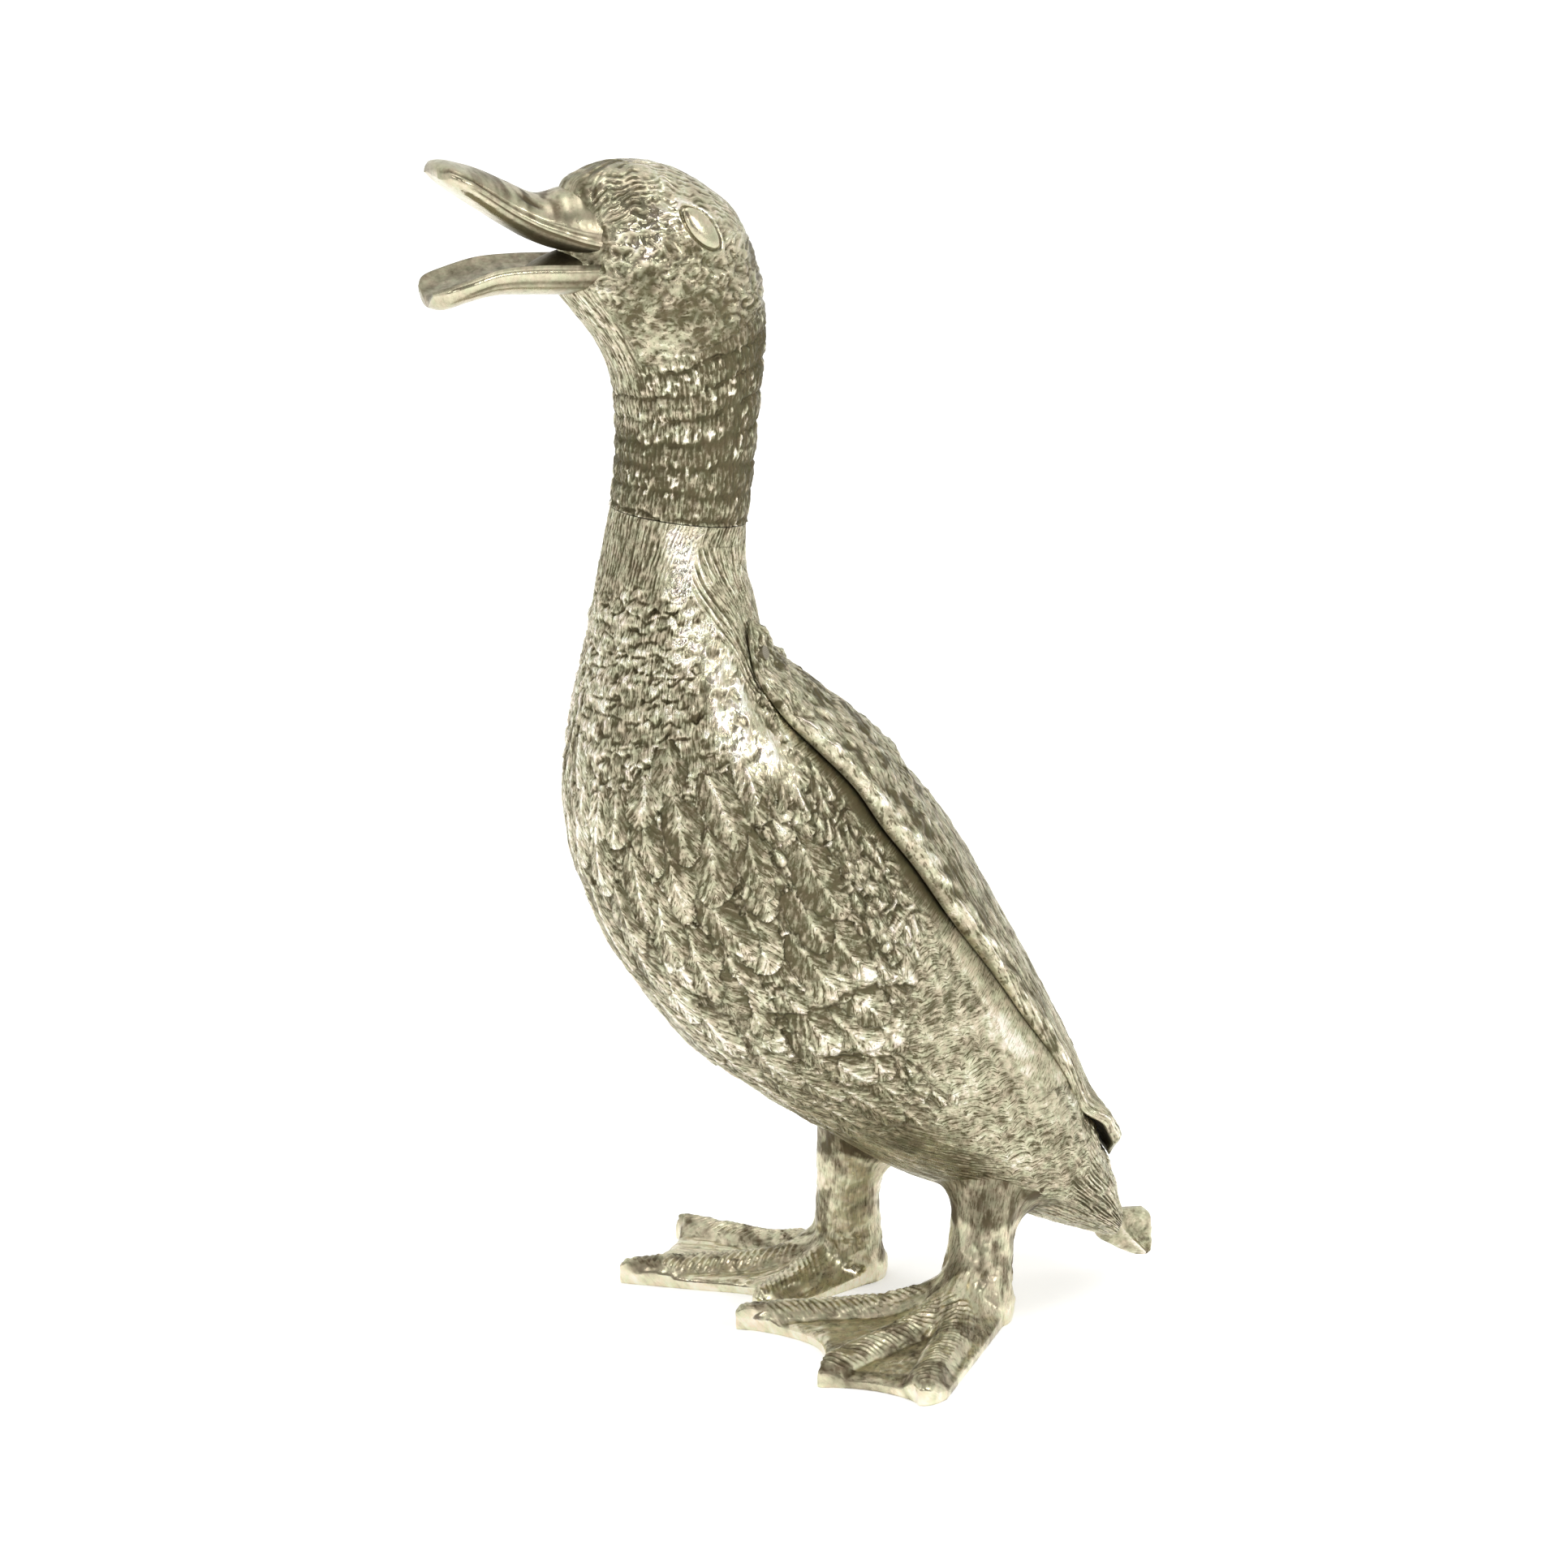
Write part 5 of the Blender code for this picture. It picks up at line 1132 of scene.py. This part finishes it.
def wing_row(along):
    """Row of the wing's table at each place along it."""
    keys = WING_ROWS[:, 0]
    i = np.clip(np.searchsorted(keys, along, side="right") - 1, 0, len(keys) - 2)
    f = (along - keys[i]) / (keys[i + 1] - keys[i])
    f = (f * f * (3 - 2 * f))[..., None]
    return WING_ROWS[i, 1:] * (1 - f) + WING_ROWS[i + 1, 1:] * f


def wing_skin(along, across):
    """Underside of the left wing, its outward normal, and its thickness over the rim."""
    low, high, gap, thickness = np.moveaxis(wing_row(along), -1, 0)
    angle = np.radians(low + (high - low) * across)
    place = WING_REACH[0] + (WING_REACH[1] - WING_REACH[0]) * along
    ahead, around = slopes(BODY_ROWS, place, angle)
    normal = np.cross(around, ahead)
    normal = normal / np.linalg.norm(normal, axis=-1, keepdims=True)
    lift = gap * (1 - across) ** 2 + 0.9 * (1 - (1 - across) ** 2)
    lift = lift + 1.8 * np.sin(pi * across) * np.sin(pi * np.clip((along - 0.1) / 0.5, 0, 1))
    return skin(BODY_ROWS, place, angle) + normal * lift[..., None], normal, thickness


columns = np.interp(np.linspace(0, 1, WING_WIDE), (0.0, 0.16, 1.0), (0.0, 0.06, 1.0))
along, across = np.meshgrid(np.linspace(0, 1, WING_LONG), columns, indexing="ij")
under_skin, normal, thickness = wing_skin(along, across)
from_rim = np.linalg.norm(under_skin - under_skin[:, :1], axis=-1)
from_ends = np.minimum(along, 1 - along) * 200.0
full = 2.8 + (thickness - 2.8) * (1 - ease(0.0, 1.0, across * 1.6))
rounding = np.interp(along, (0.0, 0.7, 0.85, 1.0), (2.0, 2.2, 5.0, 5.0))
round_rim = np.sqrt(1 - (1 - np.clip(from_rim / rounding, 0, 1)) ** 2)
round_end = np.sqrt(1 - (1 - np.clip(from_ends / 3.0, 0, 1)) ** 2)
thick = 0.4 + (full * (0.12 + 0.88 * ease(0.0, 0.16, along)) - 0.4) * round_rim * round_end
inner = under_skin[:, ::UNDERSIDE_STEP]
inner_wide = inner.shape[1]
start = WING_LONG * WING_WIDE
ids_outer = np.arange(start).reshape(WING_LONG, WING_WIDE)
ids_inner = start + np.arange(WING_LONG * inner_wide).reshape(WING_LONG, inner_wide)


def strip(near, far):
    """Faces between two lines of points."""
    return np.stack((near[:-1], near[1:], far[1:], far[:-1]), -1)


for side, sign in (("left", 1.0), ("right", -1.0)):
    L = along * WING_LENGTH + (0.0 if sign > 0 else WING_OTHER_SIDE)
    W = across * WING_WIDTH
    lower_band = 1 - ease(5.0, 8.0, W + 1.5 * mottle(L / 9.0, W / 6.0, 151))
    quills = ease(0.46, 0.58, along + 0.06 * wander(L / 12.0, W / 8.0, 152))
    slant = W + 0.10 * L + 0.8 * wander(L / 30.0, W / 9.0, 153)
    quill_step = np.mod(slant / 6.2, 1.0)
    quill = quill_step - 1.1 * hump(quill_step, 0.03, 0.05)
    quill_lines = strokes(L, slant, 14.0, 1.3, 154, 0.8, 0.5)
    lumps = mottle(L / 7.0, W / 6.0, 156)
    pocks = 0.6 * wander(L / 2.6, W / 1.7, 157) + 0.4 * wander(L / 1.2, W / 0.9, 150)
    short = strokes(L, W + 0.25 * L, 4.0, 1.6, 158, 0.6, 1.0)
    coverts = 1 - quills
    facets = hump(W, 2.5, 2.5) * wander(L / 3.5 - W / 3.0, W / 4.0, 161)
    height = coverts * (1.3 * lumps + 0.45 * pocks - 0.20 * short)
    height += quills * (0.50 * quill - 0.26 * quill_lines + 0.35 * lumps + 0.2 * pocks) + 0.55 * facets
    fade = np.clip(np.minimum(from_ends / 4.0, np.minimum(from_rim / 1.5, (1.03 - across) * 12)), 0.1, 1)
    height = height * fade
    outer = under_skin + normal * (thick + height)[..., None]
    hollow = blur(height, 3, False) - height
    blots = ease(0.0, 0.30, mottle(L / 5.0, W / 4.0, 159)) * ease(-0.3, 0.2, wander(L / 14.0, W / 9.0, 163))
    tarnish_and_painted_light = 0.43 + 0.9 * hollow + coverts * (0.70 * blots + 0.22 * short)
    tarnish_and_painted_light += 0.22 * mottle(L / 2.4, W / 2.0, 160)
    tarnish_and_painted_light += quills * (0.28 * quill_lines + 0.25 * hump(quill_step, 0.03, 0.06) + 0.35 * blots)
    tarnish_and_painted_light += 0.16 * lower_band * wander(L / 1.5, W / 0.8, 155)
    tarnish_and_painted_light -= 0.35 * hump(W, 2.5, 2.2) * (facets > 0)
    grain = np.stack((L, slant, np.zeros_like(L)), -1)
    corners = both_walls(outer, inner)
    corners[:, 0] = np.maximum(corners[:, 0], 0.5) * sign
    quads = np.concatenate((
        sheet_quads(WING_LONG, WING_WIDE, False)[:, ::-1],
        sheet_quads(WING_LONG, inner_wide, False, start),
        strip(ids_inner[:, 0], ids_outer[:, 0]),
        strip(ids_outer[:, -1], ids_inner[:, -1]),
    ))
    front = np.concatenate((ids_outer[0], ids_inner[0][::-1]))
    tip = np.concatenate((ids_outer[-1][::-1], ids_inner[-1]))
    if sign < 0:
        quads, front, tip = quads[:, ::-1], front[::-1], tip[::-1]
    wing = mesh_piece(side + "_wing_plate", corners, quads, (front, tip), {
        "tarnish_and_painted_light": lined(tarnish_and_painted_light, inner, UNDERSIDE_TARNISH),
        "grain": both_walls(grain, inner),
        "rubbed": np.full(len(corners), WING_RUBBED),
    })
    dress(wing, aged_silver, side + "_wing")


# Legs and webbed feet: one casting each of paler plated metal, clamped to the body by a stud
# inside the thigh. The upper end spreads into the flank, and ribs cross the toes.
# Each row: side and its sign, ankle, how far the leg's top stands behind it, the toes, the
# inner one first, with their angle outwards from straight ahead and their length, and how
# deep the webs between them are drawn in.
FEET = (
    ("left", 1.0, (22.0, 45.6), 10.6, ((-14.0, 64.0), (28.5, 66.5), (54.5, 64.5)), (18.0, 6.5)),
    ("right", -1.0, (-22.0, 27.1), -1.4, ((-28.0, 40.0), (14.5, 64.5), (52.5, 56.0)), (19.0, 9.0)),
)
LEG_LEAN, LEG_HEIGHT = 6.5, 56.0
SHANK, HEEL, HEEL_BACK, ANKLE = 9.0, 10.0, 1.2, 10.0
FOOT_PLATE, TOE_RIDGE, TOE_RIDGE_WIDTH = 3.8, 4.0, 5.6
TOE_HALF_WIDTH, ROOT_HALF_WIDTH = 6.2, 10.0
INSTEP_RISE, INSTEP_LENGTH = 11.0, 30.0
EDGE_ROUNDING = 3.5
THIGH_FILLET, FILLET_HEIGHT = 6.5, 11.0
SPOKE_START, SPOKE_STEPS, WEB_SPOKES = 3.0, 44, 60
LEG_COLUMNS = 64
SHANK_MM_PER_DEGREE = 0.157
SKIN_ROWS, SKIN_COLUMNS = 120, 72
VOXEL, RELAX_PASSES, SOFTEN_PASSES, SOFTEN_LEVELS = 0.4, 14, 110, 10


def web_edge(toes, webs, turn):
    """Length of the foot in a direction: full at the toes, drawn in between."""
    if turn <= toes[0][0]:
        return toes[0][1]
    for (near, near_length), (far, far_length), drawn in zip(toes, toes[1:], webs):
        if turn <= far:
            f = (turn - near) / (far - near)
            return near_length + (far_length - near_length) * f - drawn * sin(pi * f) ** 0.6
    return toes[-1][1]


def foot_solid(bm, side, ankle, toes, webs):
    """Flat-soled webbed plate as spokes that fan out from the ankle."""
    first, last = toes[0][0], toes[-1][0]
    spokes = [(first, s) for s in (-1.0, -0.75, -0.5, -0.25)]
    spokes += [(first + (last - first) * i / WEB_SPOKES, 0.0) for i in range(WEB_SPOKES + 1)]
    spokes += [(last, s) for s in (0.25, 0.5, 0.75, 1.0)]
    steps = SPOKE_STEPS
    upper, lower = [], []
    for turn, share in spokes:
        edge = web_edge(toes, webs, turn) - 6.0 * abs(share) ** 2.5
        heading = radians(turn) * side
        ahead = np.array((sin(heading), -cos(heading), 0.0))
        outwards = np.array((cos(heading), sin(heading), 0.0)) * side
        row, floor_row = [], []
        for k in range(steps + 1):
            reach = SPOKE_START + (edge - SPOKE_START) * k / steps
            shift = share * (ROOT_HALF_WIDTH + (TOE_HALF_WIDTH - ROOT_HALF_WIDTH) * k / steps)
            height = FOOT_PLATE
            for toe, _ in toes:
                off = abs(radians(turn - toe) * reach + shift)
                ridge = max(0.0, 1 - (off / TOE_RIDGE_WIDTH) ** 2)
                height += TOE_RIDGE * ridge * (1 - 0.15 * (reach / edge) ** 2)
            height += INSTEP_RISE * max(0.0, 1 - reach / INSTEP_LENGTH) ** 2 * (1 - 0.85 * abs(share))
            beyond = min(1.0, (edge - reach + 0.25) / EDGE_ROUNDING)
            height *= 0.50 + 0.50 * (1 - (1 - beyond) ** 2) ** 0.5
            height -= 1.6 * max(0.0, abs(share) - 0.6) / 0.4
            spot = np.array((ankle[0], ankle[1], 0.0)) + ahead * reach + outwards * shift + STANCE
            row.append(bm.verts.new(spot + np.array((0.0, 0.0, height))))
            floor_row.append(bm.verts.new(spot))
        upper.append(row)
        lower.append(floor_row)
    n = len(spokes) - 1
    for i in range(n):
        for k in range(steps):
            bm.faces.new((upper[i][k], upper[i + 1][k], upper[i + 1][k + 1], upper[i][k + 1]))
            bm.faces.new((lower[i][k], lower[i][k + 1], lower[i + 1][k + 1], lower[i + 1][k]))
        for k in (0, steps):
            bm.faces.new((upper[i][k], upper[i + 1][k], lower[i + 1][k], lower[i][k]))
    for k in range(steps):
        for i in (0, n):
            bm.faces.new((upper[i][k], upper[i][k + 1], lower[i][k + 1], lower[i][k]))


def body_tree():
    """The body's plain skin, to trim the legs against."""
    places = np.linspace(0, len(BODY_ROWS) - 1, SKIN_ROWS)
    place, angle = np.meshgrid(places, full_turn(SKIN_COLUMNS), indexing="ij")
    spots = skin(BODY_ROWS, place, angle).reshape(-1, 3)
    faces = sheet_quads(SKIN_ROWS, SKIN_COLUMNS, True)
    return BVHTree.FromPolygons([Vector(p) for p in spots], faces.tolist())


def circle(radius):
    """Points of a circle about the origin."""
    turns = [2 * pi * i / LEG_COLUMNS for i in range(LEG_COLUMNS)]
    return [Vector((radius * cos(a), radius * sin(a), 0.0)) for a in turns]


def leg_solid(bm, ankle, back, tree):
    """Leaning column, which spreads into a fillet where it meets the body's skin."""
    axis = Vector((-LEG_LEAN if ankle[0] > 0 else LEG_LEAN, back, LEG_HEIGHT)).normalized()
    foot = Vector((ankle[0], ankle[1], 0.0))
    middle = tree.ray_cast(foot, axis)[3]
    trims = []
    for spoke in circle(1.0):
        found = None
        for radius in (SHANK + THIGH_FILLET, SHANK + 2.0, SHANK, SHANK - 3.0):
            found = tree.ray_cast(foot + spoke * radius, axis)[3]
            if found is not None and found < middle + 24.0:
                break
        trims.append(min(found if found is not None else middle + 8.0, middle + 22.0))
    rings = []
    for height, radius, shift in ((0.0, HEEL * 1.02, HEEL_BACK), (2.0, HEEL * 1.06, HEEL_BACK),
                                  (ANKLE / 2, HEEL * 1.04, HEEL_BACK), (ANKLE, SHANK * 1.06, 0.2),
                                  (ANKLE * 1.8, SHANK, 0.0), (ANKLE * 2.6, SHANK * 0.97, 0.0)):
        centre = foot + axis * (height / axis.z) + Vector((0.0, shift, 0.0))
        rings.append([centre + spoke for spoke in circle(radius)])
    for f in (0.0, 0.25, 0.5, 0.7, 0.85, 0.95, 1.0, 1.25):
        spread = SHANK + THIGH_FILLET * (1 - np.sqrt(max(0.0, 1 - min(f, 1.0) ** 2)))
        rings.append([foot + axis * (trim - FILLET_HEIGHT + FILLET_HEIGHT * f) + spoke
                      for trim, spoke in zip(trims, circle(spread))])
    loops = [[bm.verts.new(p + Vector(STANCE)) for p in ring] for ring in rings]
    for low, high in zip(loops, loops[1:]):
        for i in range(LEG_COLUMNS):
            j = (i + 1) % LEG_COLUMNS
            bm.faces.new((low[i], low[j], high[j], high[i]))
    bm.faces.new(list(reversed(loops[0])))
    bm.faces.new(loops[-1])
    return axis, middle


def smoothed(piece, passes, group=""):
    """Smooths a piece all over, or where its vertex group says."""
    modifier = piece.modifiers.new("smoothed", "SMOOTH")
    modifier.factor = 0.5
    modifier.iterations = passes
    modifier.vertex_group = group
    bpy.ops.object.modifier_apply(modifier=modifier.name)


tree = body_tree()
leg_silver = silver("leg_silver", (0.73, 0.69, 0.53), (0.12, 0.098, 0.062), 0.16, 0.46, 0.35)
for side, sign, ankle, back, toes, webs in FEET:
    bm = bmesh.new()
    foot_solid(bm, sign, ankle, toes, webs)
    axis, top = leg_solid(bm, ankle, back, tree)
    bmesh.ops.recalc_face_normals(bm, faces=bm.faces)
    for vert in bm.verts:
        vert.co = vert.co / 1000
    mesh = bpy.data.meshes.new(side + "_leg_casting")
    bm.to_mesh(mesh)
    bm.free()
    leg = bpy.data.objects.new(side + "_leg_casting", mesh)
    bpy.context.collection.objects.link(leg)
    bpy.context.view_layer.objects.active = leg
    leg.select_set(True)
    leg.data.remesh_voxel_size = VOXEL / 1000
    leg.data.use_remesh_fix_poles = True
    bpy.ops.object.voxel_remesh()
    smoothed(leg, RELAX_PASSES)
    spots = corner_places(leg.data) * 1000 - STANCE
    out = np.hypot(spots[:, 0] - ankle[0], spots[:, 1] - ankle[1])
    weight = ease(3.0, 7.0, spots[:, 2]) * (1 - ease(18.0, 26.0, spots[:, 2])) * (1 - ease(18.0, 28.0, out))
    instep = leg.vertex_groups.new(name="instep")
    for level in range(1, SOFTEN_LEVELS + 1):
        near = np.flatnonzero(np.round(weight * SOFTEN_LEVELS) == level)
        instep.add(near.tolist(), level / SOFTEN_LEVELS, "REPLACE")
    smoothed(leg, SOFTEN_PASSES, "instep")
    bpy.ops.object.shade_smooth()

    # Where each point lies: on the top of the foot, on a toe, on the shank or at the ankle.
    mesh = leg.data
    count = len(mesh.vertices)
    spots = corner_places(mesh).astype(float) * 1000 - STANCE
    normals = np.empty(count * 3, np.float32)
    mesh.vertex_normals.foreach_get("vector", normals)
    normals = normals.reshape(-1, 3).astype(float)
    level = spots[:, 2]
    away = spots - np.array((ankle[0], ankle[1], 0.0))
    reach = np.hypot(away[:, 0], away[:, 1])
    turn = np.degrees(np.arctan2(away[:, 0] * sign, -away[:, 1]))
    upper = ease(0.5, 0.85, normals[:, 2]) * ease(12.0, 16.0, reach) * (1 - ease(16.0, 20.0, level))
    ribs, ridge, toe_line = np.zeros(count), np.zeros(count), np.zeros(count)
    for toe, _ in toes:
        off = np.radians(turn - toe) * reach
        near = np.clip(1 - (off / 5.2) ** 2, 0, 1)
        wave = np.mod((reach + 0.8 * off + 0.5 * wander(reach / 4, off / 4, 171)) / 2.0, 1.0)
        kept = ease(-1.0, -0.2, wander(reach / 6, off / 4 + toe, 170))
        ribs = np.maximum(ribs, kept * near ** 0.5 * (0.5 - 0.5 * np.cos(2 * pi * wave)) * (near > 0.05))
        ridge = np.maximum(ridge, near)
        toe_line = np.maximum(toe_line, hump(np.abs(off), 5.6, 0.7))
    web_lines = strokes(reach, turn * 0.55, 9.0, 1.2, 172, 0.7, 0.8)
    shank = ease(9.0, 16.0, level)
    from_axis = (away[:, 0] + sign * level * LEG_LEAN / LEG_HEIGHT, away[:, 1] - level * back / LEG_HEIGHT)
    around = np.degrees(np.arctan2(from_axis[1], from_axis[0])) * SHANK_MM_PER_DEGREE
    shank_lines = strokes(level, around, 7.0, 1.3, 173, 0.75, 0.7)
    folds = mottle(reach / 5.0, turn * 0.35, 169)
    bend = (1 - upper) * ease(2.5, 6.0, level) * (1 - ease(14.0, 20.0, level))
    pores = mottle(spots[:, 0] / 1.2 + spots[:, 1] / 1.5, level / 1.2, 175)

    # Relief: ribs on the toes, lines in the web, lumps at the ankle and soft lines on the shank.
    height = 0.60 * ribs * (ridge > 0) - 0.16 * web_lines * (1 - ridge) - 0.2 * toe_line + 0.4 * folds
    height = upper * height
    height += 0.75 * bend * mottle(around / 3.2, level / 3.6 + reach / 5.0, 168)
    height += shank * (-0.08 * shank_lines + 0.45 * mottle(around / 4, level / 6, 174))
    height += 0.06 * pores * ease(0.3, 0.8, level)
    moved = spots + normals * (height * ease(0.2, 1.2, level))[:, None]
    moved[:, 2] = np.maximum(moved[:, 2], 0.0)
    mesh.vertices.foreach_set("co", placed(moved))
    mesh.update()

    # Tarnish: dark rings round the leg's top, dark lines between the ribs, and pale side walls.
    to_skin = top * axis.z - level + 3.5 * mottle(around / 5, level / 7, 176)
    ringed = ease(-14.0, -10.0, to_skin) * (1 - ease(6.0, 8.5, to_skin))
    blots = ease(0.0, 0.35, mottle(around / 5.0 + reach / 9.0, level / 7.0 + turn / 60.0, 177))
    tarnish_and_painted_light = 0.23 + upper * (-0.08 + 0.24 * (1 - ribs) * (ridge > 0.1) + 0.22 * web_lines + 0.2 * toe_line)
    tarnish_and_painted_light += shank * (0.12 * shank_lines + 0.45 * ringed) + 0.42 * blots + 0.14 * bend
    tarnish_and_painted_light += 0.25 * mottle(spots[:, 0] / 2 + level / 2, spots[:, 1] / 2, 178)
    tarnish_and_painted_light -= 0.20 * (1 - ease(0.2, 0.5, np.abs(normals[:, 2]))) * (1 - ease(5.0, 7.0, level))
    wall = (1 - ease(0.3, 0.6, np.abs(normals[:, 2]))) * (1 - ease(5.0, 9.0, level))
    paint(mesh, {
        "grain": np.stack((level - np.maximum(reach - SHANK, 0.0), around, np.zeros(count)), -1),
        "tarnish_and_painted_light": tarnish_and_painted_light,
        "rubbed": np.maximum(0.9 * wall, 0.6 * ease(0.0, 0.4, mottle(around / 4.0, level / 6.0, 179))),
    })
    leg.select_set(False)
    dress(leg, leg_silver, side + "_leg")


# Tail curl: the drake's curled feather, a thin leaf of the plated metal, let into a slot in
# the tail. A thick fold runs down it, and its outer half is knurled.
# Each row: height, then the places along Y of its lower edge, its fold and its outer edge.
CURL_ROWS = np.array((
    (17.2, 94.5, 95.6, 106.6),
    (15.0, 93.4, 97.6, 108.4),
    (12.0, 92.6, 100.0, 109.0),
    (9.0, 94.4, 102.6, 109.2),
    (6.4, 98.2, 105.0, 109.2),
    (4.4, 101.6, 107.0, 109.0),
    (3.0, 105.0, 107.6, 108.4),
))
CURL_COUNT, CURL_WIDE = 90, 80
FOLD_AT = 0.4
LEAF_HALF = 1.0
KNURL_DEPTH, KNURL_PITCH, KNURL_COUNT = 0.06, 0.55, 8
places = np.linspace(0, len(CURL_ROWS) - 1.0, CURL_COUNT)
rows = smooth_rows(CURL_ROWS, places)
f = np.concatenate((np.linspace(0, 1, CURL_WIDE), np.linspace(1, 0, CURL_WIDE)))
face = np.concatenate((np.ones(CURL_WIDE), -np.ones(CURL_WIDE)))
thin = LEAF_HALF * (0.35 + 0.65 * np.sin(pi * f) ** 0.5)
knurl = KNURL_DEPTH * np.sin(2 * pi * f * KNURL_COUNT)[None, :]
knurl = knurl * np.sin(2 * pi * places / KNURL_PITCH)[:, None]
knurl = knurl * ((f > FOLD_AT + 0.12) & (f < 0.94))[None, :]
bow = np.interp(f, (0.0, 0.22, FOLD_AT, 0.52, 0.75, 0.92, 1.0), (-1.2, 0.6, 2.6, 1.5, 1.0, 2.2, 2.0))
shrink = np.interp(places, (0.0, 0.8, 5.0, len(CURL_ROWS) - 1.0), (0.5, 1.0, 0.9, 0.3))
wavy = 0.35 * wander(places * 1.6, places * 0, 182)[:, None]
curl_x = bow[None, :] * shrink[:, None] + face[None, :] * (thin[None, :] + knurl) + wavy
to_fold = np.clip(f / FOLD_AT, 0, 1)[None, :]
past_fold = np.clip((f - FOLD_AT) / (1 - FOLD_AT), 0, 1)[None, :]
curl_y = rows[:, 1:2] + (rows[:, 2:3] - rows[:, 1:2]) * to_fold + (rows[:, 3:4] - rows[:, 2:3]) * past_fold
curl_z = np.repeat(rows[:, 0:1], 2 * CURL_WIDE, 1) + 0.4 * wavy
on_fold = hump(f, FOLD_AT, 0.07)[None, :]
on_edge = hump(f, 1.0, 0.07)[None, :]
tarnish_and_painted_light = 0.45 - 0.45 * on_fold - 0.4 * on_edge + 0.15 * (f > FOLD_AT)[None, :]
tarnish_and_painted_light = tarnish_and_painted_light + 0.45 * mottle(curl_y / 2.0, curl_z / 2.0, 181) - 1.0 * knurl
ringed_piece("tail_curl_leaf", np.stack((curl_x, curl_y, curl_z), -1), tarnish_and_painted_light, aged_silver, "tail_curl")


# Hidden joints: the brass neck sleeve, nuts and washers, the steel leg studs, and the wing
# pegs. They are turned or threaded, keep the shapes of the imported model, and get a metal each.
def hidden_metal(name, colour, roughness, lines):
    """Machined metal with fine turning lines."""
    made, tree, shader = start_material(name)
    nodes, links = tree.nodes, tree.links
    shader.inputs["Metallic"].default_value = 1.0
    where = nodes.new("ShaderNodeTexCoord")
    turning = nodes.new("ShaderNodeTexWave")
    turning.bands_direction = "Z"
    turning.inputs["Scale"].default_value = lines
    turning.inputs["Distortion"].default_value = 1.5
    ramp = nodes.new("ShaderNodeValToRGB")
    ramp.color_ramp.elements[0].color = (*[c * 0.75 for c in colour], 1.0)
    ramp.color_ramp.elements[1].color = (*colour, 1.0)
    ridges = nodes.new("ShaderNodeBump")
    ridges.inputs["Strength"].default_value = 0.3
    ridges.inputs["Distance"].default_value = 0.0002
    shader.inputs["Roughness"].default_value = roughness
    links.new(where.outputs["Object"], turning.inputs["Vector"])
    links.new(turning.outputs["Fac"], ramp.inputs["Fac"])
    links.new(ramp.outputs["Color"], shader.inputs["Base Color"])
    links.new(turning.outputs["Fac"], ridges.inputs["Height"])
    links.new(ridges.outputs["Normal"], shader.inputs["Normal"])
    return made


brass = hidden_metal("turned_brass", (0.58, 0.40, 0.16), 0.35, 900.0)
steel = hidden_metal("threaded_steel", (0.42, 0.42, 0.43), 0.35, 1400.0)
peg_metal = hidden_metal("peg_metal", (0.30, 0.27, 0.20), 0.45, 700.0)
for node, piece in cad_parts.items():
    if node == "neck_sleeve" or node.endswith(("_nut", "_washer")):
        finish_metal = brass
    elif node.endswith("_stud"):
        finish_metal = steel
    elif node.endswith("_peg"):
        finish_metal = peg_metal
    else:
        continue
    for slot_of in piece.material_slots:
        slot_of.material = finish_metal
